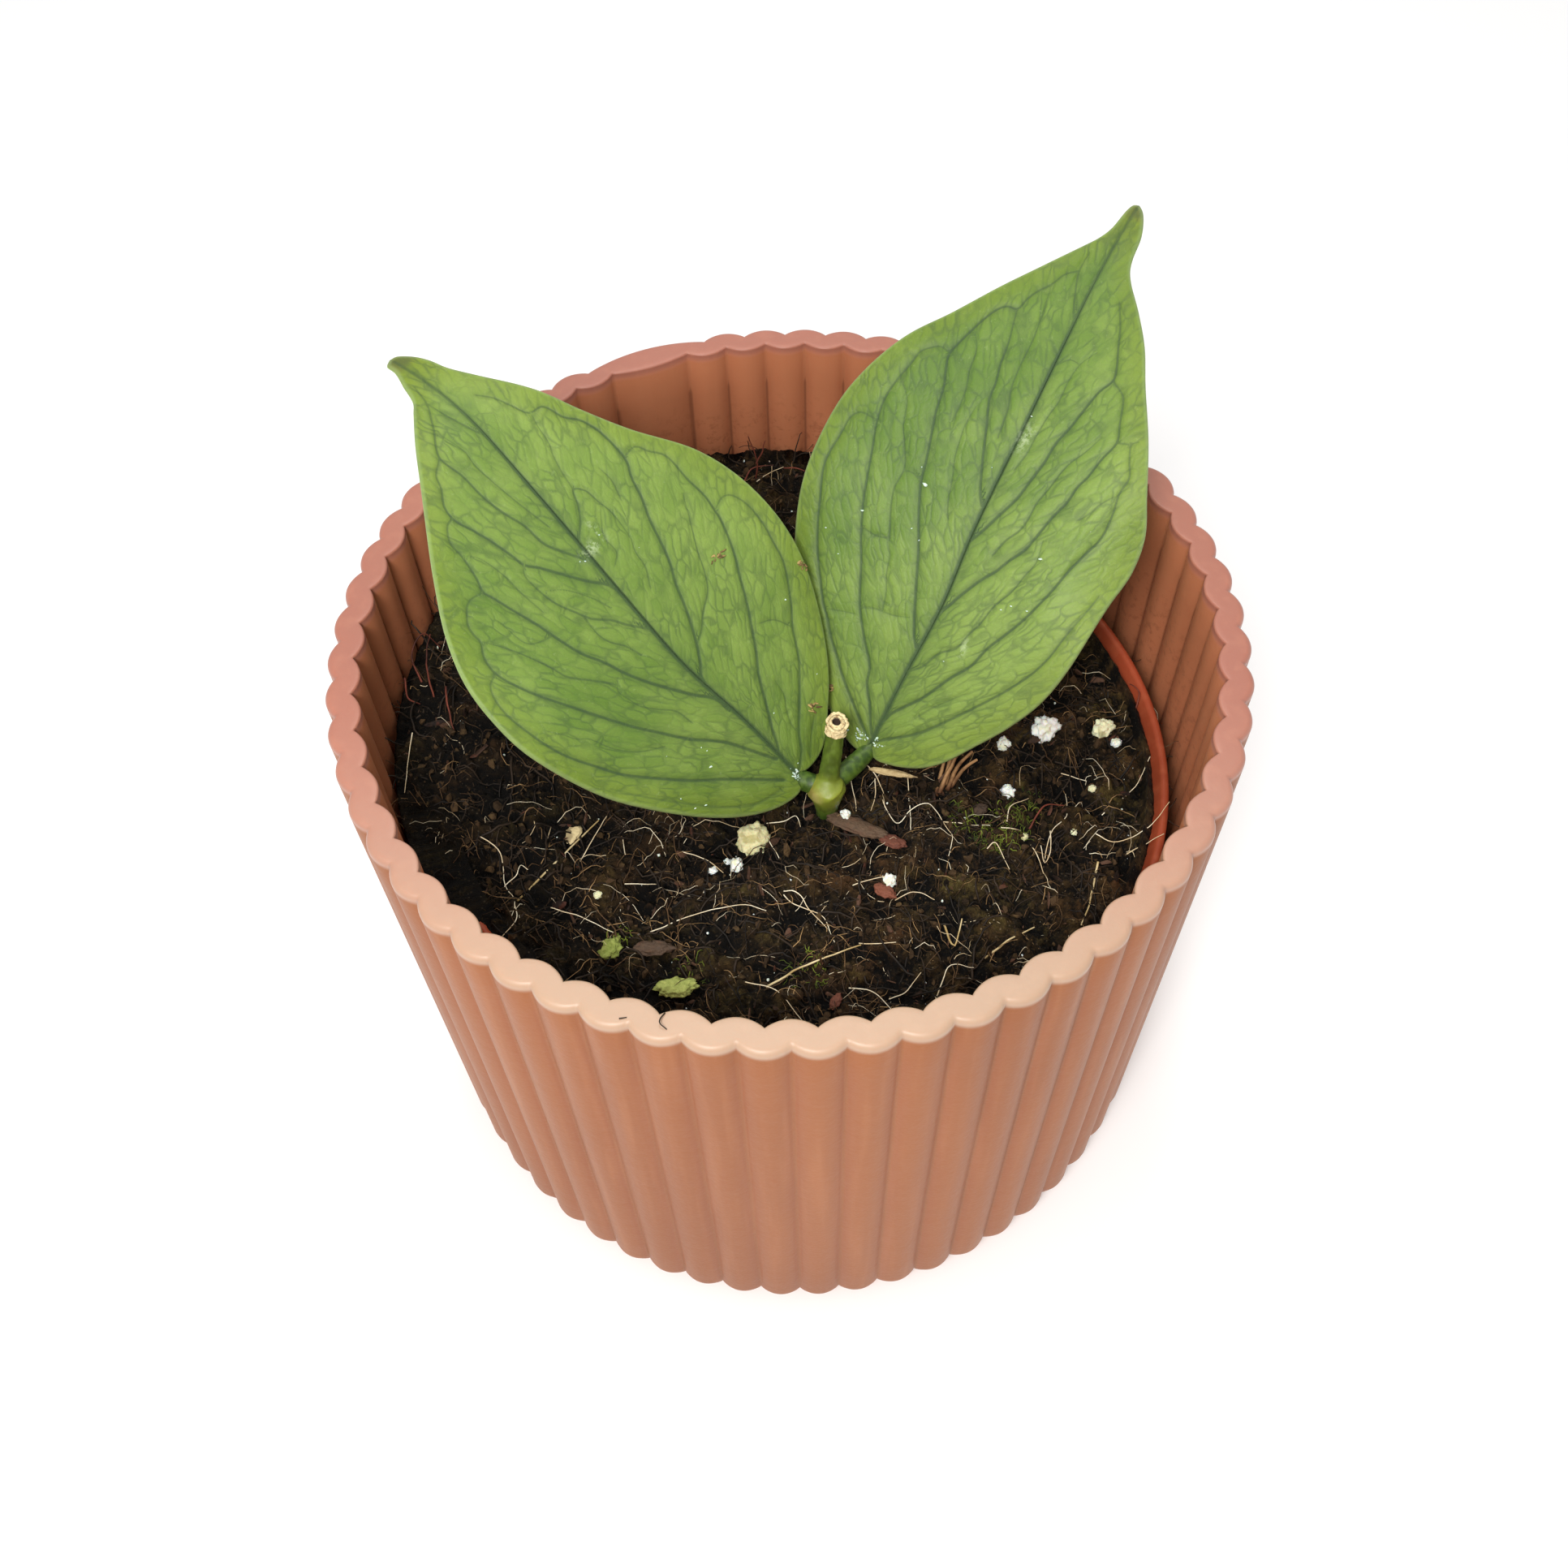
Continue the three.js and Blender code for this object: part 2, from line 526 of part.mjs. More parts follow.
// Both faces of the blade with triangles alike, so that a bend never makes them cross.
function blade(leaf) {
  const { point } = bladeSurface(leaf);
  const columns = BLADE_COLUMNS.length;
  const points = [];
  const triangles = [];
  for (const side of [1, -1]) {
    for (let row = 0; row <= BLADE_ROWS; row += 1) {
      const s = THREE.MathUtils.lerp(BLADE_ENDS, 1 - BLADE_ENDS, row / BLADE_ROWS);
      for (const t of BLADE_COLUMNS) {
        const ridge = KEEL.depth * Math.max(0, 1 - Math.abs(t) / KEEL.half) * (1 - KEEL.fade * s);
        points.push(point(s, t, (side * BLADE_THICKNESS) / 2 - (side < 0 ? ridge : 0)));
      }
    }
  }
  const at = (side, row, column) => (side * (BLADE_ROWS + 1) + row) * columns + column;
  for (let row = 0; row < BLADE_ROWS; row += 1) {
    for (let column = 0; column < columns - 1; column += 1) {
      const [a, b] = [at(0, row, column), at(0, row, column + 1)];
      const [c, d] = [at(0, row + 1, column + 1), at(0, row + 1, column)];
      const below = at(1, 0, 0);
      triangles.push([a, b, c], [a, c, d]);
      triangles.push([a + below, c + below, b + below], [a + below, d + below, c + below]);
    }
  }
  const edge = [];
  for (let column = 0; column < columns - 1; column += 1) edge.push([0, column]);
  for (let row = 0; row < BLADE_ROWS; row += 1) edge.push([row, columns - 1]);
  for (let column = columns - 1; column > 0; column -= 1) edge.push([BLADE_ROWS, column]);
  for (let row = BLADE_ROWS; row > 0; row -= 1) edge.push([row, 0]);
  edge.forEach(([row, column], k) => {
    const [nextRow, nextColumn] = edge[(k + 1) % edge.length];
    const [a, b] = [at(0, row, column), at(0, nextRow, nextColumn)];
    const [c, d] = [at(1, nextRow, nextColumn), at(1, row, column)];
    triangles.push([a, d, c], [a, c, b]);
  });
  return toSolid(indexed(points, triangles));
}

// The petiole runs from the node into the underside of the midrib.
function petiole(leaf) {
  const { place } = bladeSurface(leaf);
  const path = new THREE.CatmullRomCurve3([
    NODE.clone(), place(0, 0, PETIOLE.under), place(PETIOLE.along / 2, 0, PETIOLE.under),
    place(PETIOLE.along, 0, PETIOLE.under),
  ]);
  const radiusAt = (t) => THREE.MathUtils.lerp(PETIOLE.radius, PETIOLE.tip, t);
  return toSolid(rod(path, radiusAt, PETIOLE.sides, PETIOLE.steps));
}

function leaf(shape) {
  const whole = blade(shape).add(petiole(shape)).subtract(stemSolid(GAP));
  return toGeometry(largest(whole));
}

const plant = new THREE.Group();
plant.add(
  piece('cover_pot', coverPot()),
  piece('nursery_pot', nurseryPot()),
  piece('soil', soil()),
  piece('stem', stem()),
  piece('leaf_left', leaf(LEFT_LEAF)),
  piece('leaf_right', leaf(RIGHT_LEAF)),
);

export default plant;
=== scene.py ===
"""The looks of a young potted hoya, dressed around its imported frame.

Sizes in the classes are millimetres. A finished mesh is in metres, in the solids' frame: +Z up, -Y the front.
"""

import logging
import math
from dataclasses import dataclass, field
from enum import Enum
from typing import Callable, Optional, Sequence, Union

import bmesh
import bpy
import numpy as np
from mathutils import Matrix, Vector, noise
from mathutils.bvhtree import BVHTree

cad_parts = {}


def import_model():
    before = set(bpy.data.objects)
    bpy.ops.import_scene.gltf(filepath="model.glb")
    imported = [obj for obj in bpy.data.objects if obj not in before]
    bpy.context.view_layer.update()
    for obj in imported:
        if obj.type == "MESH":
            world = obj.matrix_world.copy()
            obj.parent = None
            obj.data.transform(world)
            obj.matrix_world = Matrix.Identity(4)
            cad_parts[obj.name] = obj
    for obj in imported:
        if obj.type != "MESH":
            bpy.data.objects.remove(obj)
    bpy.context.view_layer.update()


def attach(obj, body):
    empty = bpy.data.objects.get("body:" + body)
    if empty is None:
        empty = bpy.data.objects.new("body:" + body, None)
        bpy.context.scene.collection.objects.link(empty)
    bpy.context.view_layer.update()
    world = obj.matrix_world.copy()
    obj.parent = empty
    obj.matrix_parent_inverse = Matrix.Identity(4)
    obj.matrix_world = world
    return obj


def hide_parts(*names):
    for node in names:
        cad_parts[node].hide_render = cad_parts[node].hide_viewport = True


MM = 0.001
FULL_TURN = 2 * math.pi
UP = Vector((0.0, 0.0, 1.0))

Array = np.ndarray
Numbers = float | Array
Flat = tuple[float, float]
Point = tuple[float, float, float]
Colour = tuple[float, float, float]
Mesh = bmesh.types.BMesh
Piece = bpy.types.Object
Material = bpy.types.Material
Term = Union["Value", float]

log = logging.getLogger("hoya")


# Numbers and curves

SPAN_STEPS = 24


def smoothstep(value: Numbers, start: float, end: float) -> Numbers:
    """Ease from 0 at start to 1 at end.

    Args:
        value: A number or an array.
        start: Where the rise begins.
        end: Where it is complete.

    Returns:
        The eased number or array.
    """
    t = np.clip((value - start) / (end - start), 0.0, 1.0)
    return t * t * (3.0 - 2.0 * t)


def rgb(red: int, green: int, blue: int) -> Colour:
    """Turn a screen colour into the linear colour that a shader takes.

    Args:
        red: Red, 0 to 255.
        green: Green, 0 to 255.
        blue: Blue, 0 to 255.

    Returns:
        The linear colour.
    """
    def linear(level: int) -> float:
        """Return one channel, made linear."""
        part = level / 255.0
        return part / 12.92 if part <= 0.04045 else ((part + 0.055) / 1.055) ** 2.4
    return linear(red), linear(green), linear(blue)


def smooth_curve(points: Sequence[Sequence[float]], count: int) -> Array:
    """Run a centripetal curve through points and read it at equal steps of its length.

    Args:
        points: The points that the curve passes through.
        count: How many places to read.

    Returns:
        The places, one row each.
    """
    knots = np.array(points, float)
    knots = np.vstack([2 * knots[0] - knots[1], knots, 2 * knots[-1] - knots[-2]])
    dense = []
    for k in range(1, len(knots) - 2):
        a, b, c, d = knots[k - 1:k + 3]
        t0 = 0.0
        t1 = t0 + math.sqrt(np.linalg.norm(b - a))
        t2 = t1 + math.sqrt(np.linalg.norm(c - b))
        t3 = t2 + math.sqrt(np.linalg.norm(d - c))
        t = np.linspace(t1, t2, SPAN_STEPS, endpoint=False)[:, None]
        ab = (t1 - t) / (t1 - t0) * a + (t - t0) / (t1 - t0) * b
        bc = (t2 - t) / (t2 - t1) * b + (t - t1) / (t2 - t1) * c
        cd = (t3 - t) / (t3 - t2) * c + (t - t2) / (t3 - t2) * d
        abc = (t2 - t) / (t2 - t0) * ab + (t - t0) / (t2 - t0) * bc
        bcd = (t3 - t) / (t3 - t1) * bc + (t - t1) / (t3 - t1) * cd
        dense.append((t2 - t) / (t2 - t1) * abc + (t - t1) / (t2 - t1) * bcd)
    line = np.vstack(dense + [knots[-2]])
    run = np.concatenate([[0.0], np.cumsum(np.linalg.norm(np.diff(line, axis=0), axis=1))])
    wanted = np.linspace(0.0, run[-1], count)
    return np.stack([np.interp(wanted, run, line[:, axis]) for axis in range(line.shape[1])], 1)


class Draws:
    """The seeded number source that the solids use, so that both place the same clods."""

    def __init__(self, seed: int) -> None:
        """Start from a seed."""
        self.state = seed

    def next(self) -> float:
        """Return the next number from 0 to 1."""
        self.state = (self.state * 1664525 + 1013904223) % 4294967296
        return self.state / 4294967296


# Meshes

def mapped_grid(columns: int, rows: int, place: Callable[[Array, Array], Array]) -> Mesh:
    """Bend a grid into a surface.

    Args:
        columns: Faces along the first way.
        rows: Faces along the second way.
        place: Gives the places for the two coordinates, each from 0 to 1.

    Returns:
        The mesh, its seams still open.
    """
    bm = bmesh.new()
    bmesh.ops.create_grid(bm, x_segments=columns, y_segments=rows, size=1.0)
    flat = np.array([vertex.co[:2] for vertex in bm.verts])
    spots = place((flat[:, 0] + 1.0) / 2.0, (flat[:, 1] + 1.0) / 2.0)
    for vertex, spot in zip(bm.verts, spots.tolist()):
        vertex.co = spot
    return bm


def set_values(bm: Mesh, name: str, values: Array) -> None:
    """Store one number on each vertex.

    Args:
        bm: The mesh.
        name: The attribute's name.
        values: A number for each vertex, in order.
    """
    layer = bm.verts.layers.float.new(name)
    for vertex, value in zip(bm.verts, values.tolist()):
        vertex[layer] = value


def close_up(bm: Mesh, distance: float = 1e-4) -> None:
    """Merge doubles, drop flat leftovers and turn the faces outwards.

    Args:
        bm: The mesh.
        distance: How near two points are one, in millimetres.
    """
    bmesh.ops.remove_doubles(bm, verts=bm.verts[:], dist=distance)
    bmesh.ops.dissolve_degenerate(bm, edges=bm.edges[:], dist=distance / 10.0)
    bmesh.ops.recalc_face_normals(bm, faces=bm.faces[:])


def to_piece(bm: Mesh, name: str, smooth: bool = True) -> Piece:
    """Make a piece of a mesh that is drawn in millimetres.

    Args:
        bm: The mesh, which is used up.
        name: The piece's name.
        smooth: Whether its shading is smooth.

    Returns:
        The object, at the origin.
    """
    bmesh.ops.transform(bm, matrix=Matrix.Scale(MM, 4), verts=bm.verts[:])
    for face in bm.faces:
        face.smooth = smooth
    mesh = bpy.data.meshes.new(name)
    bm.to_mesh(mesh)
    bm.free()
    piece = bpy.data.objects.new(name, mesh)
    bpy.context.scene.collection.objects.link(piece)
    return piece


def tube(line: Array, radii: Sequence[float], sides: int) -> Mesh:
    """Roll a grid into a round tube along a line, drawn in to a point at both ends.

    Args:
        line: The tube's middle, one row for each place.
        radii: Its radius at each place.
        sides: How many sides it has.

    Returns:
        The tube, its seam still open.
    """
    line = np.vstack([line[:1], line, line[-1:]])
    radii = np.concatenate([[0.0], radii, [0.0]])
    frames = []
    ahead = np.gradient(line[1:-1], axis=0)
    side = Vector(ahead[0]).orthogonal().normalized()
    for way in ahead[[0, *range(len(ahead)), -1]]:
        along = Vector(way).normalized()
        side = (side - along * side.dot(along)).normalized()
        frames.append((tuple(side), tuple(along.cross(side))))
    first, second = np.array(frames).transpose(1, 0, 2)

    def place(around: Array, share: Array) -> Array:
        """Find the tube's places.

        Args:
            around: How far round each is, from 0 to 1.
            share: How far along the tube, from 0 to 1.

        Returns:
            The places.
        """
        row = np.rint(share * (len(line) - 1)).astype(int)
        turn = FULL_TURN * (np.rint(around * sides) % sides) / sides
        out = first[row] * np.cos(turn)[:, None] + second[row] * np.sin(turn)[:, None]
        return line[row] + out * radii[row][:, None]

    return mapped_grid(sides, len(line) - 1, place)


def join(bm: Mesh, other: Mesh) -> None:
    """Add another mesh.

    Args:
        bm: The mesh that grows.
        other: The mesh to add, which is used up.
    """
    mesh = bpy.data.meshes.new("joined")
    other.to_mesh(mesh)
    other.free()
    bm.from_mesh(mesh)
    bpy.data.meshes.remove(mesh)


# Shaders

def math_method(operation: str, swapped: bool = False) -> Callable[..., "Value"]:
    """Make a method that adds a Math node.

    Args:
        operation: The node's operation.
        swapped: Whether the other value comes first.

    Returns:
        The method.
    """
    def method(self: "Value", *others: Term) -> "Value":
        """Return the result of the node."""
        given = (*others, self) if swapped else (self, *others)
        return self.graph.node("Math", {"operation": operation}, dict(enumerate(given)))
    return method


class Value:
    """A shader socket that takes part in sums."""

    __add__, __radd__ = math_method("ADD"), math_method("ADD", True)
    __sub__, __rsub__ = math_method("SUBTRACT"), math_method("SUBTRACT", True)
    __mul__, __rmul__ = math_method("MULTIPLY"), math_method("MULTIPLY", True)
    __abs__, most = math_method("ABSOLUTE"), math_method("MAXIMUM")

    def __init__(self, graph: "Graph", socket: bpy.types.NodeSocket) -> None:
        """Wrap a socket of a graph."""
        self.graph = graph
        self.socket = socket

    def ramp(self, start: float, end: float, low: float = 0.0, high: float = 1.0) -> "Value":
        """Ease from low at start to high at end.

        Args:
            start: The value where the change begins.
            end: The value where it is complete.
            low: What it begins with.
            high: What it ends with.

        Returns:
            The eased value.
        """
        settings = {"interpolation_type": "SMOOTHSTEP"}
        inputs = {"Value": self, "From Min": start, "From Max": end, "To Min": low, "To Max": high}
        return self.graph.node("MapRange", settings, inputs, "Result")


class Graph:
    """A material's nodes, written as expressions."""

    def __init__(self, name: str) -> None:
        """Start an empty material.

        Args:
            name: Its name.
        """
        self.material = bpy.data.materials.new(name)
        self.material.use_nodes = True
        self.tree = self.material.node_tree
        self.tree.nodes.clear()

    def node(self, kind: str, settings: dict, inputs: dict, output: int | str = 0) -> Value:
        """Add any node.

        Args:
            kind: The node's type, without ShaderNode before it.
            settings: Its settings, set first.
            inputs: The value or link of each socket, by name or number.
            output: The socket to return.

        Returns:
            That socket.
        """
        made = self.tree.nodes.new("ShaderNode" + kind)
        for key, value in settings.items():
            setattr(made, key, value)
        for key, value in inputs.items():
            socket = made.inputs[key]
            if isinstance(value, Value):
                self.tree.links.new(value.socket, socket)
            elif isinstance(value, tuple) and len(value) == 3 and socket.type == "RGBA":
                socket.default_value = (*value, 1.0)
            else:
                socket.default_value = value
        return Value(self, made.outputs[output])

    def place(self) -> Value:
        """Return Object coordinates, in metres."""
        return self.node("TexCoord", {}, {}, "Object")

    def scaled(self, vector: Value, x: float, y: float, z: float) -> Value:
        """Stretch a pattern's coordinates."""
        settings = {"operation": "MULTIPLY"}
        return self.node("VectorMath", settings, {0: vector, 1: (x, y, z)}, "Vector")

    def attribute(self, name: str) -> Value:
        """Return a number that the mesh carries."""
        return self.node("Attribute", {"attribute_name": name}, {}, "Fac")

    def vector(self, x: Value, y: Value) -> Value:
        """Join two numbers into a flat vector."""
        return self.node("CombineXYZ", {}, {0: x, 1: y})

    def parts(self, vector: Value) -> tuple[Value, Value, Value]:
        """Split a vector.

        Args:
            vector: The vector.

        Returns:
            Its three numbers.
        """
        made = self.node("SeparateXYZ", {}, {0: vector})
        outputs = made.socket.node.outputs
        return tuple(Value(self, outputs[k]) for k in range(3))

    def grain(self, vector: Value, per_mm: float, detail: float = 3.0, rough: float = 0.5) -> Value:
        """Return noise with a number of waves to the millimetre.

        Args:
            vector: Coordinates in metres.
            per_mm: How many waves a millimetre holds.
            detail: How many finer layers it has.
            rough: How strong those are.

        Returns:
            The noise, from 0 to 1.
        """
        inputs = {"Vector": vector, "Scale": per_mm / MM, "Detail": detail, "Roughness": rough}
        return self.node("TexNoise", {}, inputs, "Fac")

    def cells(self, vector: Value, feature: str, scale: float, output: str = "Distance") -> Value:
        """Return a cell pattern."""
        settings = {"feature": feature}
        return self.node("TexVoronoi", settings, {"Vector": vector, "Scale": scale}, output)

    def mix(self, share: Term, first: Value | Colour, second: Value | Colour) -> Value:
        """Mix two colours.

        Args:
            share: How much of the second there is, from 0 to 1.
            first: A colour, or a link to one.
            second: A colour, or a link to one.

        Returns:
            The mixed colour.
        """
        settings = {"data_type": "RGBA", "clamp_factor": True}
        return self.node("Mix", settings, {0: share, 6: first, 7: second}, 2)

    def bump(self, height: Value, millimetres: float, under: Optional[Value] = None) -> Value:
        """Turn a height into a normal.

        Args:
            height: The height, where 1 stands for the given number of millimetres.
            millimetres: How high that is.
            under: A normal that it lies on.

        Returns:
            The normal.
        """
        inputs = {"Height": height, "Strength": 1.0, "Distance": millimetres * MM}
        if under is not None:
            inputs["Normal"] = under
        return self.node("Bump", {}, inputs, "Normal")

    def surface(self, colour: Value, roughness: Term, normal: Optional[Value] = None,
                **fixed: Term | tuple) -> Material:
        """Finish the material.

        Args:
            colour: The base colour.
            roughness: The roughness.
            normal: The normal, if it has one.
            fixed: Further sockets, by name with underscores.

        Returns:
            The material.
        """
        inputs = {"Base Color": colour, "Roughness": roughness}
        if normal is not None:
            inputs["Normal"] = normal
        inputs.update({key.replace("_", " "): value for key, value in fixed.items()})
        shader = self.node("BsdfPrincipled", {}, inputs, "BSDF")
        end = self.tree.nodes.new("ShaderNodeOutputMaterial")
        self.tree.links.new(shader.socket, end.inputs["Surface"])
        return self.material


# Finishes

class WearAndLight(Enum):
    """How a moulded pot has aged, and whether it also carries painted light and shade."""

    SHOWN = "shown"
    SHELTERED = "sheltered"


@dataclass(frozen=True)
class MouldedPlastic:
    """Matte dyed plastic with a fine satin grain.

    The pairs are places on the cover pot, in metres, between which a tint comes in: painted light on the
    inside, dirt near the soil, and a painted highlight on the rim.
    """

    name: str
    base: Colour
    deep: Colour
    pale: Colour
    roughness: float
    wear_and_light: WearAndLight
    mouth: Flat = (0.0522, 0.0526)
    brim: Flat = (0.0842, 0.0852)
    soiled_from: Flat = (0.068, 0.08)
    rim: Flat = (0.0838, 0.085)
    painted_highlight_front: Flat = (-0.05, -0.005)

    def build(self) -> Material:
        """Mix the dye, its streaks and its pores.

        Returns:
            The material.
        """
        graph = Graph(self.name)
        place = graph.place()
        cloud = graph.grain(graph.scaled(place, 1.0, 1.0, 0.35), 0.045, 3.0)
        speckle = graph.grain(place, 2.2, 2.0)
        streak = graph.grain(graph.scaled(place, 1.0, 1.0, 0.06), 0.55, 2.0)
        colour = graph.mix(cloud.ramp(0.3, 0.72), self.deep, self.base)
        colour = graph.mix(streak.ramp(0.45, 0.8) * 0.35, colour, self.pale)
        colour = graph.mix(speckle.ramp(0.62, 0.75) * 0.12, colour, self.pale)
        polish = 0.0
        # The pot on show gets dirt and painted light and shade; the sheltered one gets neither.
        if self.wear_and_light is WearAndLight.SHOWN:
            colour, polish = self.wear_and_painted_light(graph, place, colour)
        rough = self.roughness + (speckle - 0.5) * 0.12
        pores = graph.bump(speckle, 0.02)
        normal = graph.bump(graph.grain(place, 0.35, 2.0), 0.05, pores)
        return graph.surface(colour, rough, normal, Subsurface_Weight=0.12, Subsurface_Scale=0.004,
                             Subsurface_Radius=(1.0, 0.45, 0.3), Specular_IOR_Level=0.16,
                             Coat_Weight=polish, Coat_Roughness=0.5)

    def wear_and_painted_light(self, graph: Graph, place: Value, colour: Value) -> tuple[Value, Value]:
        """Soil the inside near the soil line, lighten it with painted light, darken the grooves with painted
        shade, and paint a highlight on the rim.

        Args:
            graph: The material's nodes.
            place: Object coordinates.
            colour: The clean colour.

        Returns:
            The colour with its dirt and its painted light and shade, and how polished the surface is.
        """
        x, y, height = graph.parts(place)
        soil = graph.grain(place, 0.9, 4.0, 0.7)
        within = (x * x + y * y).ramp(self.mouth[0] ** 2, self.mouth[1] ** 2, 1.0, 0.0)
        inside = within * height.ramp(*self.brim, 1.0, 0.0)
        dirty = height.ramp(*self.soiled_from, 1.0, 0.0) * soil.ramp(0.5, 0.66)
        # Painted light: the inside is made lighter to make up for its shade.
        colour = graph.mix(inside * 0.7, colour, rgb(200, 128, 94))
        colour = graph.mix(dirty * inside * 0.35, colour, rgb(110, 62, 44))
        # Painted highlight: the rim top is paled, most at the front where the light falls on it.
        rim = height.ramp(*self.rim)
        front = y.ramp(*self.painted_highlight_front, 1.0, 0.0)
        lip = graph.mix(front, rgb(196, 131, 131), rgb(192, 171, 147))
        colour = graph.mix(rim * (0.3 + front * 0.3), colour, lip)
        # Painted shade: the grooves are darkened, with a dark line at their bottom.
        groove_shade = graph.attribute("groove_shade")
        colour = graph.mix(groove_shade.ramp(0.0, 1.0) * 0.35, colour, rgb(150, 88, 60))
        return graph.mix(groove_shade.ramp(0.8, 1.0) * 0.55, colour, rgb(104, 58, 40)), rim


@dataclass(frozen=True)
class Peat:
    """Dark damp peat, redder and greener in patches: painted shade blackens its hollows, a painted light ramp
    runs across it, and its fine glints are partly painted.
    """

    name: str = "damp_peat"
    bend_waves: float = 450.0
    bend_reach: float = 0.003
    painted_light_across: Flat = (-0.044, 0.034)

    def build(self) -> Material:
        """Mix the painted shade of the hollows, red and olive patches, hairs and partly painted glints.

        Returns:
            The material.
        """
        graph = Graph(self.name)
        place = graph.place()
        high = graph.attribute("shade")
        coarse = graph.grain(place, 0.12, 3.0, 0.6)
        patch = graph.grain(graph.scaled(place, 1.0, 1.0, 0.2), 0.07, 2.0)
        fine = graph.grain(place, 1.5, 5.0, 0.75)
        drift = graph.node("TexNoise", {}, {"Vector": place, "Scale": self.bend_waves}, "Color")
        warp = graph.scaled(drift, self.bend_reach, self.bend_reach, self.bend_reach)
        bent = graph.node("VectorMath", {"operation": "ADD"}, {0: place, 1: warp}, "Vector")
        threads = graph.grain(graph.scaled(bent, 0.35, 2.4, 1.0), 1.1, 3.0, 0.7)
        cross = graph.grain(graph.scaled(bent, 2.4, 0.35, 1.0), 1.1, 3.0, 0.7)
        # Painted shade: the hollows of the relief go black and its tops brown.
        lit = (high * 0.75 + fine * 0.7 - 0.35).ramp(0.18, 0.82)
        # Painted light and shade: darker to the left, lighter to the right.
        lit = lit * graph.parts(place)[0].ramp(*self.painted_light_across, 0.35, 1.4)
        colour = graph.mix(lit, rgb(4, 3, 2), rgb(84, 64, 34))
        red = graph.mix(fine, rgb(60, 34, 22), rgb(104, 66, 42))
        colour = graph.mix(patch.ramp(0.5, 0.62) * lit * 0.6, colour, red)
        olive = graph.mix(fine, rgb(42, 40, 16), rgb(112, 102, 54))
        colour = graph.mix(coarse.ramp(0.47, 0.63) * lit * 0.8, colour, olive)
        hair = threads.ramp(0.6, 0.7).most(cross.ramp(0.61, 0.71))
        colour = graph.mix(hair * (lit * 0.6 + 0.15), colour, rgb(140, 112, 68))
        glint = graph.cells(place, "F1", 1300.0).ramp(0.0, 0.24, 1.0, 0.0)
        # Painted glints: the colour is paled at the glint spots, and their roughness is lowered as well.
        colour = graph.mix(glint * (lit * 0.5 + 0.1), colour, rgb(190, 170, 140))
        rough = 0.8 - glint * 0.45 - coarse.ramp(0.45, 0.62) * 0.3
        normal = graph.bump(fine, 0.7, graph.bump(hair, 0.25))
        return graph.surface(colour, rough, normal, Specular_IOR_Level=0.18)


@dataclass(frozen=True)
class Grit:
    """A crumbly mineral or woody bit, varied from one to the next."""

    name: str
    dark: Colour
    light: Colour
    fleck: Colour
    flecks: float = 0.3
    roughness: float = 0.8
    relief: float = 0.15
    glow: float = 0.0
    gloss: float = 0.5

    def build(self) -> Material:
        """Vary each bit and fleck it.

        Returns:
            The material.
        """
        graph = Graph(self.name)
        place = graph.place()
        shade = graph.attribute("shade")
        fine = graph.grain(place, 1.8, 4.0, 0.7)
        blots = graph.grain(place, 0.7, 2.0)
        share = (shade * 0.6 + fine * 0.6 - 0.1).ramp(0.1, 0.8)
        colour = graph.mix(share, self.dark, self.light)
        colour = graph.mix(blots.ramp(0.55, 0.66) * self.flecks, colour, self.fleck)
        normal = graph.bump(fine, self.relief)
        rough = self.roughness + (fine - 0.5) * 0.2
        return graph.surface(colour, rough, normal, Subsurface_Weight=self.glow, Subsurface_Scale=0.002,
                             Specular_IOR_Level=self.gloss)


@dataclass(frozen=True)
class Thread:
    """A thin root or plant fibre with darker lengths."""

    name: str
    light: Colour
    dark: Colour

    def build(self) -> Material:
        """Darken some lengths.

        Returns:
            The material.
        """
        graph = Graph(self.name)
        place = graph.place()
        lengths = graph.grain(place, 0.22, 3.0, 0.6)
        fine = graph.grain(place, 2.5, 2.0)
        colour = graph.mix(lengths.ramp(0.36, 0.66), self.light, self.dark)
        colour = graph.mix(fine.ramp(0.4, 0.8) * 0.3, colour, self.dark)
        return graph.surface(colour, 0.6 + fine * 0.15, graph.bump(fine, 0.04), Specular_IOR_Level=0.3)


